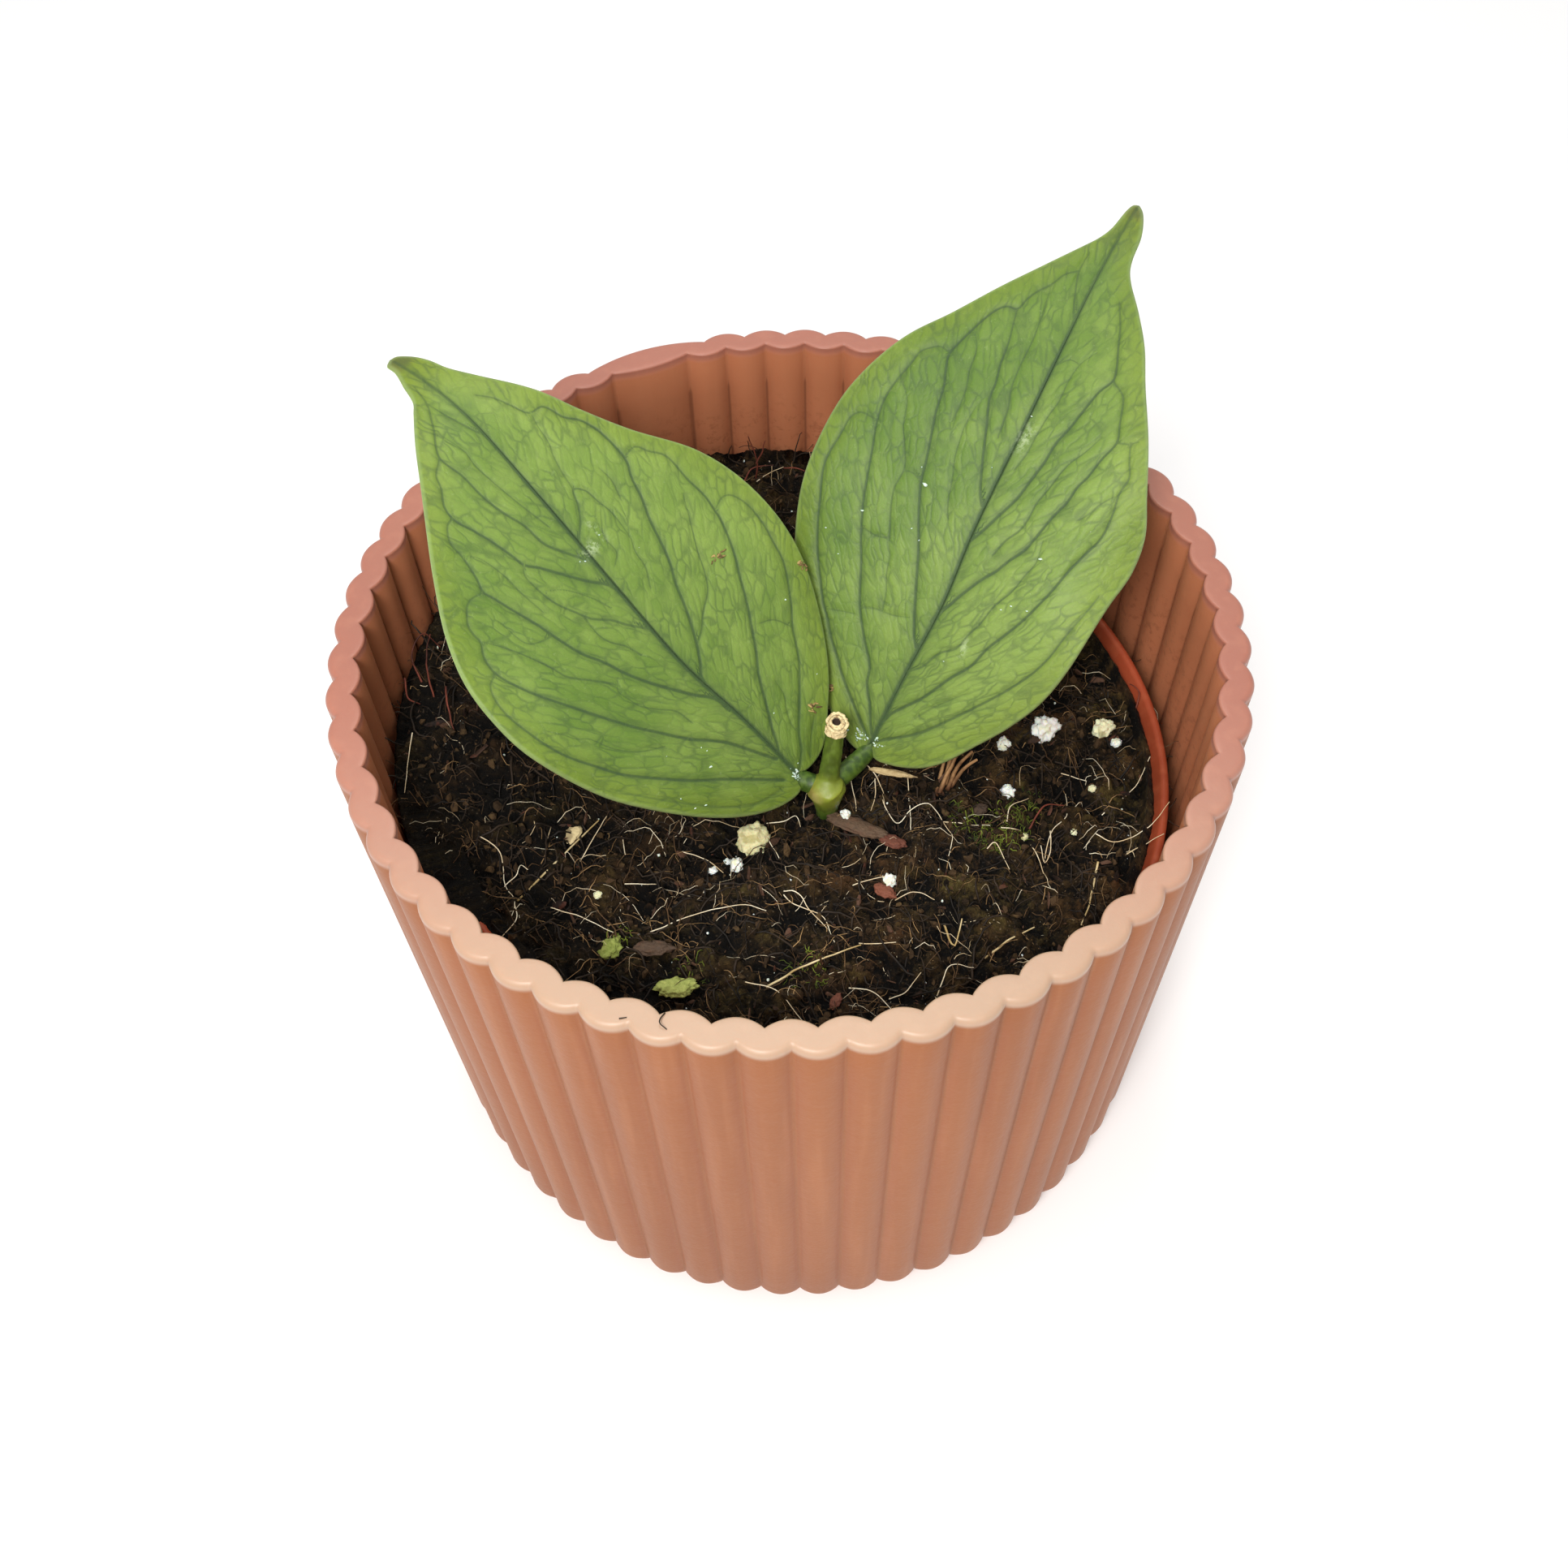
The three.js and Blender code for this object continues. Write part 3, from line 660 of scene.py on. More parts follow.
@dataclass(frozen=True)
class BladeSkin:
    """A thick satin leaf: dark netted veins over paler cells, with a pale edge and a painted light slope
    across it.
    """

    name: str
    cell: Colour
    cell_light: Colour
    vein: Colour
    tip: Colour
    edge: Colour

    def build(self) -> Material:
        """Lay the cells, the net and the veins over each other.

        Returns:
            The material.
        """
        graph = Graph(self.name)
        place = graph.place()
        side = graph.attribute("vein_side")
        plain = graph.attribute("vein_plain")
        strength = graph.attribute("vein_strength")
        along = graph.attribute("flow_along")
        across = graph.attribute("flow_across")
        edge = graph.attribute("edge_distance")
        upper = graph.attribute("upper_face")
        tip = graph.attribute("tip_share")
        wander = graph.grain(place, 0.35, 2.0) - 0.5
        flow = graph.vector(along * 0.36 + wander * 1.6, across * 0.84 + wander * 1.2)
        net_gap = graph.cells(flow, "DISTANCE_TO_EDGE", 1.0)
        tone = graph.parts(graph.cells(flow, "F1", 1.0, "Color"))[0]
        fine_flow = graph.vector(along * 1.1 + wander * 2.4, across * 1.7 + wander * 2.4)
        fine_gap = graph.cells(fine_flow, "DISTANCE_TO_EDGE", 1.0)
        mottle = graph.grain(place, 0.12, 3.0)
        speck = graph.grain(place, 1.6, 3.0, 0.7)
        near = abs(side).most(plain - 1.6)
        vein = near.ramp(0.35, 1.7, 1.0, 0.0) * strength
        halo = plain.ramp(0.6, 6.0, 1.0, 0.0) * strength
        net = net_gap.ramp(0.0, 0.18, 1.0, 0.0)
        fine_net = fine_gap.ramp(0.0, 0.16, 1.0, 0.0)
        # Painted light: the blade is lighter towards one side, by a slope over it.
        light = tone * 0.3 + mottle.ramp(0.3, 0.7) * 0.5 + graph.attribute("bloom")
        colour = graph.mix(light, self.cell, self.cell_light)
        colour = graph.mix(edge.ramp(0.0, 6.0, 0.5, 0.0), colour, self.tip)
        colour = graph.mix(tip, colour, self.tip)
        colour = graph.mix(tip.ramp(0.85, 1.0) * 0.8, colour, rgb(104, 108, 46))
        fade = graph.grain(place, 0.3, 2.0).ramp(0.35, 0.65, 0.12, 0.42)
        colour = graph.mix(fine_net * 0.08, colour, self.vein)
        colour = graph.mix(net * fade, colour, self.vein)
        colour = graph.mix(speck.ramp(0.6, 0.74) * 0.2, colour, self.edge)
        colour = graph.mix(halo * 0.3, colour, self.vein)
        colour = graph.mix(vein * 0.8, colour, self.vein)
        colour = graph.mix(edge.ramp(0.1, 0.6, 0.4, 0.0), colour, self.edge)
        under = graph.mix(vein * 0.3 + net * 0.15, rgb(150, 172, 112), rgb(118, 148, 84))
        colour = graph.mix(upper, under, colour)
        scuff = graph.attribute("scuff") * graph.grain(place, 1.1, 4.0, 0.75).ramp(0.45, 0.6)
        colour = graph.mix(scuff * 0.5, colour, rgb(190, 205, 165))
        rough = 0.5 + (speck - 0.5) * 0.16 + vein * 0.08 + (1.0 - upper) * 0.15 + scuff * 0.2
        height = net_gap.ramp(0.0, 0.3) * 0.6 + fine_gap.ramp(0.0, 0.3) * 0.25 - vein * 0.5
        normal = graph.bump(height, 0.045, graph.bump(speck, 0.012))
        return graph.surface(colour, rough, normal, Subsurface_Weight=0.15, Subsurface_Scale=0.0015,
                             Subsurface_Radius=(0.5, 1.0, 0.2), Specular_IOR_Level=0.25)


@dataclass(frozen=True)
class StemSkin:
    """A living green stem that yellows at the swollen joint and reddens at a scar."""

    name: str = "green_stem"

    def build(self) -> Material:
        """Mix the green skin, its joint and its scars.

        Returns:
            The material.
        """
        graph = Graph(self.name)
        place = graph.place()
        tone = graph.attribute("node_tone")
        scar = graph.attribute("scar")
        fine = graph.grain(graph.scaled(place, 1.0, 1.0, 0.4), 1.2, 3.0)
        colour = graph.mix(fine.ramp(0.35, 0.7), rgb(46, 70, 18), rgb(80, 106, 32))
        colour = graph.mix(tone * 0.85, colour, rgb(146, 156, 52))
        colour = graph.mix(scar.ramp(0.1, 0.9) * fine.ramp(0.3, 0.6, 0.4, 0.9), colour, rgb(184, 180, 104))
        red = graph.attribute("red_share")
        colour = graph.mix(red * 0.45, colour, rgb(110, 66, 40))
        return graph.surface(colour, 0.42 + fine * 0.12, graph.bump(fine, 0.08), Subsurface_Weight=0.2,
                             Subsurface_Scale=0.001, Subsurface_Radius=(0.6, 1.0, 0.2))


@dataclass(frozen=True)
class DryCut:
    """The dry corky end of a cut stem."""

    name: str = "dry_cut"

    def build(self) -> Material:
        """Mix the cork with the painted shade of its hollow and ring.

        Returns:
            The material.
        """
        graph = Graph(self.name)
        place = graph.place()
        fine = graph.grain(place, 1.6, 4.0, 0.7)
        shade = graph.attribute("shade")
        colour = graph.mix(fine.ramp(0.3, 0.56), rgb(150, 116, 72), rgb(226, 208, 160))
        colour = graph.mix(shade, colour, rgb(52, 36, 22))
        return graph.surface(colour, 0.85, graph.bump(fine, 0.2))


@dataclass(frozen=True)
class Paper:
    """A plain pale floor."""

    name: str = "pale_floor"
    tone: Colour = (0.95, 0.95, 0.95)

    def build(self) -> Material:
        """Mottle the paper faintly.

        Returns:
            The material.
        """
        graph = Graph(self.name)
        fine = graph.grain(graph.place(), 0.01, 2.0)
        return graph.surface(graph.mix(fine * 0.02, self.tone, (0.9, 0.9, 0.9)), 0.9)


COVER_PLASTIC = MouldedPlastic("salmon_plastic", rgb(150, 90, 49), rgb(141, 83, 44),
                               rgb(170, 111, 72), 0.4, WearAndLight.SHOWN)
NURSERY_PLASTIC = MouldedPlastic("terracotta_plastic", rgb(160, 72, 45), rgb(122, 54, 32),
                                 rgb(172, 92, 62), 0.45, WearAndLight.SHELTERED)
PERLITE = Grit("perlite", rgb(226, 222, 200), rgb(250, 248, 240), rgb(214, 212, 130), 0.35, 0.9, 0.2,
               glow=0.3)
STAINED_PERLITE = Grit("stained_perlite", rgb(198, 188, 122), rgb(240, 236, 196), rgb(150, 140, 70),
                       0.5, 0.9, 0.2, glow=0.2)
DARK_CRUMB = Grit("dark_crumb", rgb(8, 6, 4), rgb(74, 56, 36), rgb(106, 86, 52), 0.3, 0.8, 0.4,
                  gloss=0.2)
SHARD = Grit("woody_shard", rgb(20, 13, 10), rgb(88, 62, 46), rgb(100, 52, 36), 0.4, 0.7, 0.25,
             gloss=0.3)
DRY_BIT = Grit("dry_bit", rgb(82, 58, 30), rgb(176, 152, 92), rgb(60, 42, 26), 0.4, 0.8, 0.1)
BARK = Grit("bark_chip", rgb(46, 34, 26), rgb(106, 82, 60), rgb(96, 62, 42), 0.4, 0.7, 0.35)
RED_BARK = Grit("red_bark", rgb(78, 38, 26), rgb(130, 74, 52), rgb(70, 40, 28), 0.4, 0.7, 0.3)
HUSK = Grit("pale_husk", rgb(150, 122, 78), rgb(216, 198, 150), rgb(96, 70, 44), 0.45, 0.7, 0.2)
MOSSY = Grit("mossy_lump", rgb(112, 130, 44), rgb(212, 220, 126), rgb(120, 120, 54), 0.5, 0.85, 0.4)
WAX = Grit("waxy_crumb", rgb(150, 176, 148), rgb(216, 226, 206), rgb(250, 250, 245), 0.3, 0.35, 0.05,
           glow=0.3)
PALE_THREAD = Thread("pale_fibre", rgb(250, 242, 214), rgb(212, 188, 146))
TAN_THREAD = Thread("tan_fibre", rgb(178, 144, 98), rgb(84, 60, 38))
DARK_THREAD = Thread("dark_fibre", rgb(50, 38, 26), rgb(18, 14, 10))
RUST_THREAD = Thread("rust_fibre", rgb(92, 68, 42), rgb(36, 26, 16))
BARK_THREAD = Thread("bark_fibre", rgb(186, 144, 98), rgb(92, 60, 38))
RED_THREAD = Thread("red_root", rgb(128, 66, 50), rgb(60, 30, 22))
MOSS_THREAD = Thread("moss_strand", rgb(118, 132, 44), rgb(54, 66, 20))
STRAW_THREAD = Thread("straw", rgb(232, 216, 170), rgb(168, 142, 90))
BLADE_SKIN = BladeSkin("leaf_skin", rgb(90, 119, 45), rgb(124, 148, 69), rgb(50, 72, 46),
                       rgb(114, 132, 40), rgb(150, 170, 114))


# Pieces

def seat(piece: Piece, slot: str, *finishes: Material) -> None:
    """Dress a piece and let it ride on the plant's one body.

    Args:
        piece: The piece.
        slot: Not used.
        finishes: Its materials, in order.
    """
    for finish in finishes:
        piece.data.materials.append(finish)
    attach(piece, "root")


class Heap:
    """Uneven lumps in one mesh, each with its own shade."""

    def __init__(self, smooth: bool = True) -> None:
        """Start with none.

        Args:
            smooth: Whether their shading is smooth.
        """
        self.bm = bmesh.new()
        self.shades: list[float] = []
        self.smooth = smooth

    def add(self, place: Vector, size: Sequence[float], turn: Matrix, detail: int, rough: float, seed: float,
            shade: float, grain: float = 1.0) -> None:
        """Add a lump.

        Args:
            place: Its middle.
            size: Its three half sizes.
            turn: How it is turned.
            detail: How often its faces are divided.
            rough: How far its surface wanders, as a share of its size.
            seed: A number that makes it unlike the others.
            shade: How light it is, from 0 to 1.
            grain: How fine its unevenness is.
        """
        made = bmesh.ops.create_icosphere(self.bm, subdivisions=detail, radius=1.0)["verts"]
        for vertex in made:
            key = vertex.co * (1.3 * grain) + Vector((seed, seed * 0.37, -seed))
            swell = 1.0 + rough * (noise.noise(key) + 0.5 * noise.noise(key * 2.7))
            stretched = Vector((vertex.co.x * size[0], vertex.co.y * size[1], vertex.co.z * size[2])) * swell
            vertex.co = turn @ stretched + place
        self.shades += [float(shade)] * len(made)

    def finish(self, name: str, finish: Grit, slot: str) -> None:
        """Make the lumps a piece with a name and a finish."""
        set_values(self.bm, "shade", np.array(self.shades))
        seat(to_piece(self.bm, name, self.smooth), slot, finish.build())


class Strands:
    """Thin round strands, gathered as the splines of one bevelled curve."""

    def __init__(self) -> None:
        """Start with none."""
        self.curve = bpy.data.curves.new("strands", "CURVE")
        self.curve.dimensions = "3D"
        self.curve.bevel_depth = 1.0
        self.curve.bevel_resolution = 0
        self.curve.use_fill_caps = True

    def add(self, line: Array, radii: Array) -> None:
        """Add a strand.

        Args:
            line: Its middle, one row for each place.
            radii: Its radius at each place.
        """
        spline = self.curve.splines.new("POLY")
        spline.points.add(len(line) - 1)
        spline.points.foreach_set("co", np.column_stack([line, np.ones(len(line))]).ravel())
        spline.points.foreach_set("radius", np.asarray(radii, float))

    def finish(self, name: str, finish: Thread, slot: str) -> None:
        """Make the strands a piece.

        Args:
            name: The piece's name.
            finish: Its finish.
            slot: Not used.
        """
        holder = bpy.data.objects.new("strands", self.curve)
        bpy.context.scene.collection.objects.link(holder)
        made = bpy.data.meshes.new_from_object(holder.evaluated_get(bpy.context.evaluated_depsgraph_get()))
        bm = bmesh.new()
        bm.from_mesh(made)
        bpy.data.meshes.remove(made)
        bpy.data.curves.remove(self.curve)
        seat(to_piece(bm, name), slot, finish.build())


# Cover pot

def quarter(steps: int, first: int = 1) -> list[Flat]:
    """Return the sine and cosine of each step of a quarter turn."""
    turns = [math.radians(90.0 * k / steps) for k in range(first, steps + 1)]
    return [(math.sin(turn), math.cos(turn)) for turn in turns]


@dataclass
class CoverPot:
    """The fluted pot: lobes outside and, half a flute on, lobes inside."""

    height: float = 85.5
    groove_radius: float = 54.0
    wall: float = 3.2
    lobe_depth: float = 1.0
    base_taper: float = 0.985
    flutes: int = 60
    steps_per_flute: int = 16
    corner: float = 5.0
    inner_corner: float = 2.0
    rim_fillet: float = 0.8
    inner_rim_fillet: float = 0.3
    floor: float = 3.0
    panel_start: float = 32.0
    panel_outer: float = 3.0
    panel_inner_start: float = 32.5
    panel_inner: float = 2.0
    groove_softness: float = 0.06
    wall_rows: int = 12
    base_insets: Flat = (30.0, 8.0)
    groove_shade_below: float = 1.0

    def lobe(self, share: Array) -> Array:
        """Return the shape of a lobe.

        Args:
            share: Places across it, as shares of its width.

        Returns:
            How far out it is at each, from 0 to 1.
        """
        off = 2.0 * share - 1.0
        soft = self.groove_softness
        return 1.0 - (off ** 2) - soft * np.exp(-((1.0 - np.abs(off)) / soft))

    def lobes(self, index: Array, start: float, width: float, shift: float) -> Array:
        """Return the lobes of a face, with the plain panel.

        Args:
            index: The flute's number, with its fraction.
            start: The flute where the panel begins.
            width: How many flutes wide the panel is.
            shift: How far this face's flutes are moved.

        Returns:
            How far out the face is, from 0 to 1.
        """
        on_panel = index - start
        within = (on_panel >= 0) & (on_panel < width)
        return np.where(within, self.lobe(on_panel / width), self.lobe((index + shift) % 1.0))

    def profile(self) -> Array:
        """Draw the wall's section, from the middle of the base to the middle of the floor.

        Returns:
            How far in it is, how high, and how deep the outer and the inner lobes are.
        """
        full, round_out, round_in = self.lobe_depth, self.rim_fillet, self.inner_rim_fillet
        climb = range(1, self.wall_rows + 1)
        rows = [(inset, 0.0, 0.0, 0.0) for inset in (self.groove_radius, *self.base_insets)]
        rows += [(self.corner * (1 - s), self.corner * (1 - c), full * s ** 0.6, 0.0)
                 for s, c in quarter(8, 0)]
        top = self.height - round_out
        rows += [(0.0, self.corner + (top - self.corner) * k / self.wall_rows, full, 0.0) for k in climb]
        rows += [(round_out * (1 - c), top + round_out * s, full, 0.0) for s, c in quarter(6)]
        inner = self.wall - full
        brim = inner - round_in
        for share in (0.25, 0.5, 0.75, 1.0):
            inset = round_out + (brim - round_out) * share
            rows.append((inset, self.height, full * (1 - share), full * share))
        rows += [(brim + round_in * s, self.height - round_in * (1 - c), 0.0, full) for s, c in quarter(3)]
        high, low = self.height - round_in, self.floor + self.inner_corner
        rows += [(inner, high + (low - high) * k / self.wall_rows, 0.0, full) for k in climb]
        rows += [(inner + self.inner_corner * (1 - c), low - self.inner_corner * s, 0.0, full * c)
                 for s, c in quarter(4)]
        rows += [(inset, self.floor, 0.0, 0.0) for inset in (self.base_insets[0], self.groove_radius)]
        return np.array(rows)

    def build(self) -> None:
        """Build the fluted wall, the base and the floor, and dress them."""
        section = self.profile()
        columns = self.flutes * self.steps_per_flute
        grooves = []

        def place(around: Array, share: Array) -> Array:
            """Find the wall's places.

            Args:
                around: How far round each is, from 0 to 1.
                share: How far along the section, from 0 to 1.

            Returns:
                The places.
            """
            row = np.rint(share * (len(section) - 1)).astype(int)
            inset, height, outer, inner = section[row].T
            index = (np.rint(around * columns) % columns) / self.steps_per_flute
            taper = self.base_taper + (1 - self.base_taper) * height / self.height
            out = outer * self.lobes(index, self.panel_start, self.panel_outer, 0.0)
            back = inner * self.lobes(index, self.panel_inner_start, self.panel_inner, 0.5)
            # Painted shade: how deep each place lies in a groove, carried to the finish; none near the rim
            # top.
            depth = np.where(out > 0, self.lobe_depth - out, np.where(inner > 0, inner - back, 0.0))
            shown = height < self.height - self.groove_shade_below
            grooves.append(np.clip(depth / self.lobe_depth, 0, 1) * shown)
            radius = self.groove_radius * taper - inset + out - back
            radius = np.where(inset >= self.groove_radius, 0.0, radius)
            turn = math.radians(-90.0) + FULL_TURN * index / self.flutes
            return np.stack([radius * np.cos(turn), radius * np.sin(turn), height], 1)

        bm = mapped_grid(columns, len(section) - 1, place)
        set_values(bm, "groove_shade", grooves[0])
        close_up(bm)
        pot = to_piece(bm, "fluted_cover_pot")
        seat(pot, "cover_plastic", COVER_PLASTIC.build())
        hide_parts("cover_pot")


# Nursery pot

@dataclass
class NurseryPot:
    """The thin pot inside, which leans a little, its right side lower."""

    rim_centre: Point = (1.3, -2.5, 66.5)
    slope: float = -0.06
    rim_radius: float = 47.4
    base_radius: float = 36.0
    height: float = 61.1
    wall: float = 1.0
    lip_height: float = 3.0
    lip_reach: float = 1.2
    lip_thickness: float = 1.1
    lip_round: float = 0.4
    sides: int = 144
    drain_count: int = 6
    drain_ring: float = 24.0
    drain_radius: float = 4.0
    drill_height: float = 0.5
    drill_depth: float = 6.0

    def rim_plane(self, x: Array, y: Array) -> Array:
        """Return the height of the rim's plane over a place."""
        return self.rim_centre[2] + self.slope * (x - self.rim_centre[0])

    def side(self, height: float) -> float:
        """Return the outer radius of the wall at a height."""
        top = self.rim_radius - self.lip_reach
        return self.base_radius + (top - self.base_radius) * height / self.height

    def placement(self) -> Matrix:
        """Work out the lean and place of the pot.

        Returns:
            The move from an upright pot at the origin.
        """
        axis = Vector((-self.slope, 0.0, 1.0)).normalized()
        base = Vector(self.rim_centre) - axis * self.height
        return Matrix.Translation(base) @ UP.rotation_difference(axis).to_matrix().to_4x4()

    def section(self) -> list[Flat]:
        """Draw the wall's section, from the axis outside to the axis inside.

        Returns:
            Its places, each a radius and a height.
        """
        top, soft, wall = self.height, self.lip_round, self.wall
        low, middle = top - self.lip_height, (top - self.lip_height) * 0.5
        lip, mouth = self.rim_radius, self.rim_radius - self.lip_thickness
        bend = ((1.0, 0.0), (0.7, 0.7), (0.0, 1.0))
        return [
            (0.0, 0.0), (self.drain_ring, 0.0), (self.base_radius - wall, 0.0),
            (self.side(wall), wall), (self.side(middle), middle), (self.side(low), low + soft),
            *((lip - soft + soft * s, low + soft - soft * c) for c, s in bend),
            *((lip - soft * (1 - c), top - soft * (1 - s)) for c, s in bend),
            *((mouth + soft * (1 - c), top - soft * (1 - s)) for c, s in bend[::-1]),
            (self.side(low) - wall, low), (self.side(middle) - wall, middle),
            (self.side(wall) - wall, wall), (self.drain_ring, wall), (0.0, wall),
        ]

    def build(self) -> None:
        """Spin the wall, lean it, drill its floor and dress it."""
        bm = bmesh.new()
        line = [bm.verts.new((x, 0.0, z)) for x, z in self.section()]
        edges = [bm.edges.new(pair) for pair in zip(line, line[1:])]
        bmesh.ops.spin(bm, geom=line + edges, cent=(0, 0, 0), axis=(0, 0, 1), angle=FULL_TURN,
                       steps=self.sides, use_merge=True)
        close_up(bm)
        bmesh.ops.transform(bm, matrix=self.placement(), verts=bm.verts[:])
        pot = to_piece(bm, "nursery_pot_wall")
        self.drill(pot)
        seat(pot, "nursery_plastic", NURSERY_PLASTIC.build())
        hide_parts("nursery_pot")

    def drill(self, pot: Piece) -> None:
        """Cut the drain holes.

        Args:
            pot: The pot to cut.
        """
        bm = bmesh.new()
        for k in range(self.drain_count):
            turn = FULL_TURN * k / self.drain_count
            x, y = self.drain_ring * math.cos(turn), self.drain_ring * math.sin(turn)
            place = self.placement() @ Matrix.Translation((x, y, self.drill_height))
            bmesh.ops.create_cone(bm, cap_ends=True, segments=32, radius1=self.drain_radius,
                                  radius2=self.drain_radius, depth=self.drill_depth, matrix=place)
        drills = to_piece(bm, "drain_drills")
        cut = pot.modifiers.new("drains", "BOOLEAN")
        cut.operation = "DIFFERENCE"
        cut.solver = "EXACT"
        cut.object = drills
        drilled = bpy.data.meshes.new_from_object(pot.evaluated_get(bpy.context.evaluated_depsgraph_get()))
        pot.modifiers.clear()
        pot.data = drilled
        bpy.data.objects.remove(drills)


# Soil

@dataclass
class SoilForm:
    """The soil's surface, as the solids have it."""

    pot: NurseryPot
    drop: float = 2.0
    spill_rise: float = 3.2
    spill_from: float = 15.0
    spill_over: float = 30.0
    spill_radius: float = 50.1
    seed: int = 11
    count: int = 90
    clod_height: float = 1.1
    clod_spread: float = 3.4
    clod_field: float = 100.0
    vary: float = 0.8
    hollows: float = 0.4
    clods: list = field(default_factory=list)

    def __post_init__(self) -> None:
        """Draw the clods in the order that the solids use."""
        draws = Draws(self.seed)
        for _ in range(self.count):
            x = self.clod_field * (draws.next() - 0.5)
            y = self.clod_field * (draws.next() - 0.5)
            height = self.clod_height * (1 - self.vary * draws.next())
            height *= -1 if draws.next() < self.hollows else 1
            spread = self.clod_spread * (1 - self.vary * draws.next() + self.vary / 2)
            self.clods.append((x, y, height, spread))

    def spill(self, x: Array, y: Array) -> Array:
        """Return how far the soil has risen over the rim's level, from 0 to 1."""
        away = np.hypot(np.maximum(-x, 0), np.maximum(y, 0))
        return smoothstep(away, self.spill_from, self.spill_from + self.spill_over)

    def top(self, x: Array, y: Array) -> Array:
        """Return the height of the surface.

        Args:
            x: Places from left to right.
            y: Places from front to back.

        Returns:
            The height at each.
        """
        high = self.pot.rim_plane(x, y) - self.drop + self.spill_rise * self.spill(x, y)
        for cx, cy, height, spread in self.clods:
            high = high + height * np.exp(-((x - cx) ** 2 + (y - cy) ** 2) / spread ** 2)
        return high


@dataclass
class Soil:
    """The peat's crumbly body, which fills the nursery pot and spills over its rim."""

    form: SoilForm
    cells: int = 280
    relief: float = 1.15
    fine_relief: float = 0.8
    gap: float = 0.15

    def mouth(self) -> float:
        """Return the radius of the soil where it lies inside the rim."""
        pot = self.form.pot
        return pot.rim_radius - pot.lip_thickness - self.gap

    def reach(self, turn: Array) -> tuple[Array, Array, Array]:
        """Return the soil's middle and radius for each direction.

        Args:
            turn: The directions.

        Returns:
            The two coordinates of the middle, and the radius.
        """
        x0, y0, _ = self.form.pot.rim_centre
        far = self.form.spill_radius
        x, y = far * np.cos(turn), far * np.sin(turn)
        over = smoothstep(self.form.spill(x, y), 0.62, 0.98)
        return x0 * (1 - over), y0 * (1 - over), self.mouth() + (far - self.mouth()) * over

    def rough(self, x: float, y: float) -> float:
        """Work out the fine unevenness at a place.

        Args:
            x: How far right it is.
            y: How far back it is.

        Returns:
            How far the surface stands over its smooth form.
        """
        key = Vector((x, y, 0.0))
        bend = Vector((noise.noise(key * 0.5), noise.noise(key * 0.6 + UP * 9), 0.0))
        broad = noise.fractal(key * 0.2, 0.8, 2.2, 5)
        lumps = noise.voronoi(key * 0.42 + bend)[0][0]
        small = noise.voronoi(key * 1.1 + bend * 2)[0][0]
        sharp = noise.turbulence(key * 0.9, 4, True)
        coarse = self.relief * (1.2 * broad + 1.3 * (0.42 - lumps))
        return coarse + self.fine_relief * (sharp - 0.75 - 0.5 * small)

    def build(self) -> BVHTree:
        """Build the peat's body and dress it.

        Returns:
            Its surface, on which the rest is laid.
        """
        shades = []

        def place(p: Array, q: Array) -> Array:
            """Find the surface's places, a square bent into a round.

            Args:
                p: How far along the square's first side each is, from 0 to 1.
                q: How far along its second side, from 0 to 1.

            Returns:
                The places.
            """
            a, b = 2 * p - 1, 2 * q - 1
            u = a * np.sqrt(1 - b * b / 2)
            v = b * np.sqrt(1 - a * a / 2)
            turn, share = np.arctan2(v, u), np.hypot(u, v)
            cx, cy, radius = self.reach(turn)
            x, y = cx + radius * share * np.cos(turn), cy + radius * share * np.sin(turn)
            rough = np.array([self.rough(*spot) for spot in zip(x.tolist(), y.tolist())])
            edge = smoothstep(share, 0.98, 1.0)
            # Painted shade: the lower the relief, the darker the peat is drawn.
            shades.append(np.clip(0.55 + 0.24 * rough, 0, 1))
            return np.stack([x, y, self.form.top(x, y) + rough * (1 - 0.5 * edge) - 0.5 * edge], 1)

        bm = mapped_grid(self.cells, self.cells, place)
        set_values(bm, "shade", shades[0])
        surface = BVHTree.FromBMesh(bm)
        self.close_under(bm)
        soil = to_piece(bm, "peat_body")
        seat(soil, "potting_soil", Peat().build())
        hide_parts("soil")
        return surface

    def close_under(self, bm: Mesh) -> None:
        """Carry the edge down inside the nursery pot and close it.

        Args:
            bm: The soil's surface.
        """
        pot = self.form.pot
        lean = pot.placement()
        edges = [edge for edge in bm.edges if edge.is_boundary]
        for level in (pot.height + self.gap, pot.height - 1.0, pot.height * 0.5, pot.wall + self.gap):
            ring = bmesh.ops.extrude_edge_only(bm, edges=edges)["geom"]
            verts = [one for one in ring if isinstance(one, bmesh.types.BMVert)]
            edges = [one for one in ring if isinstance(one, bmesh.types.BMEdge) and one.is_boundary]
            low = pot.height - pot.lip_height
            inside = min(pot.side(min(level, low)) - pot.wall - self.gap, self.mouth())
            for vertex in verts:
                local = lean.inverted() @ vertex.co
                turn = math.atan2(local.y, local.x)
                vertex.co = lean @ Vector((inside * math.cos(turn), inside * math.sin(turn), level))
        bmesh.ops.contextual_create(bm, geom=edges)
        bmesh.ops.recalc_face_normals(bm, faces=bm.faces[:])


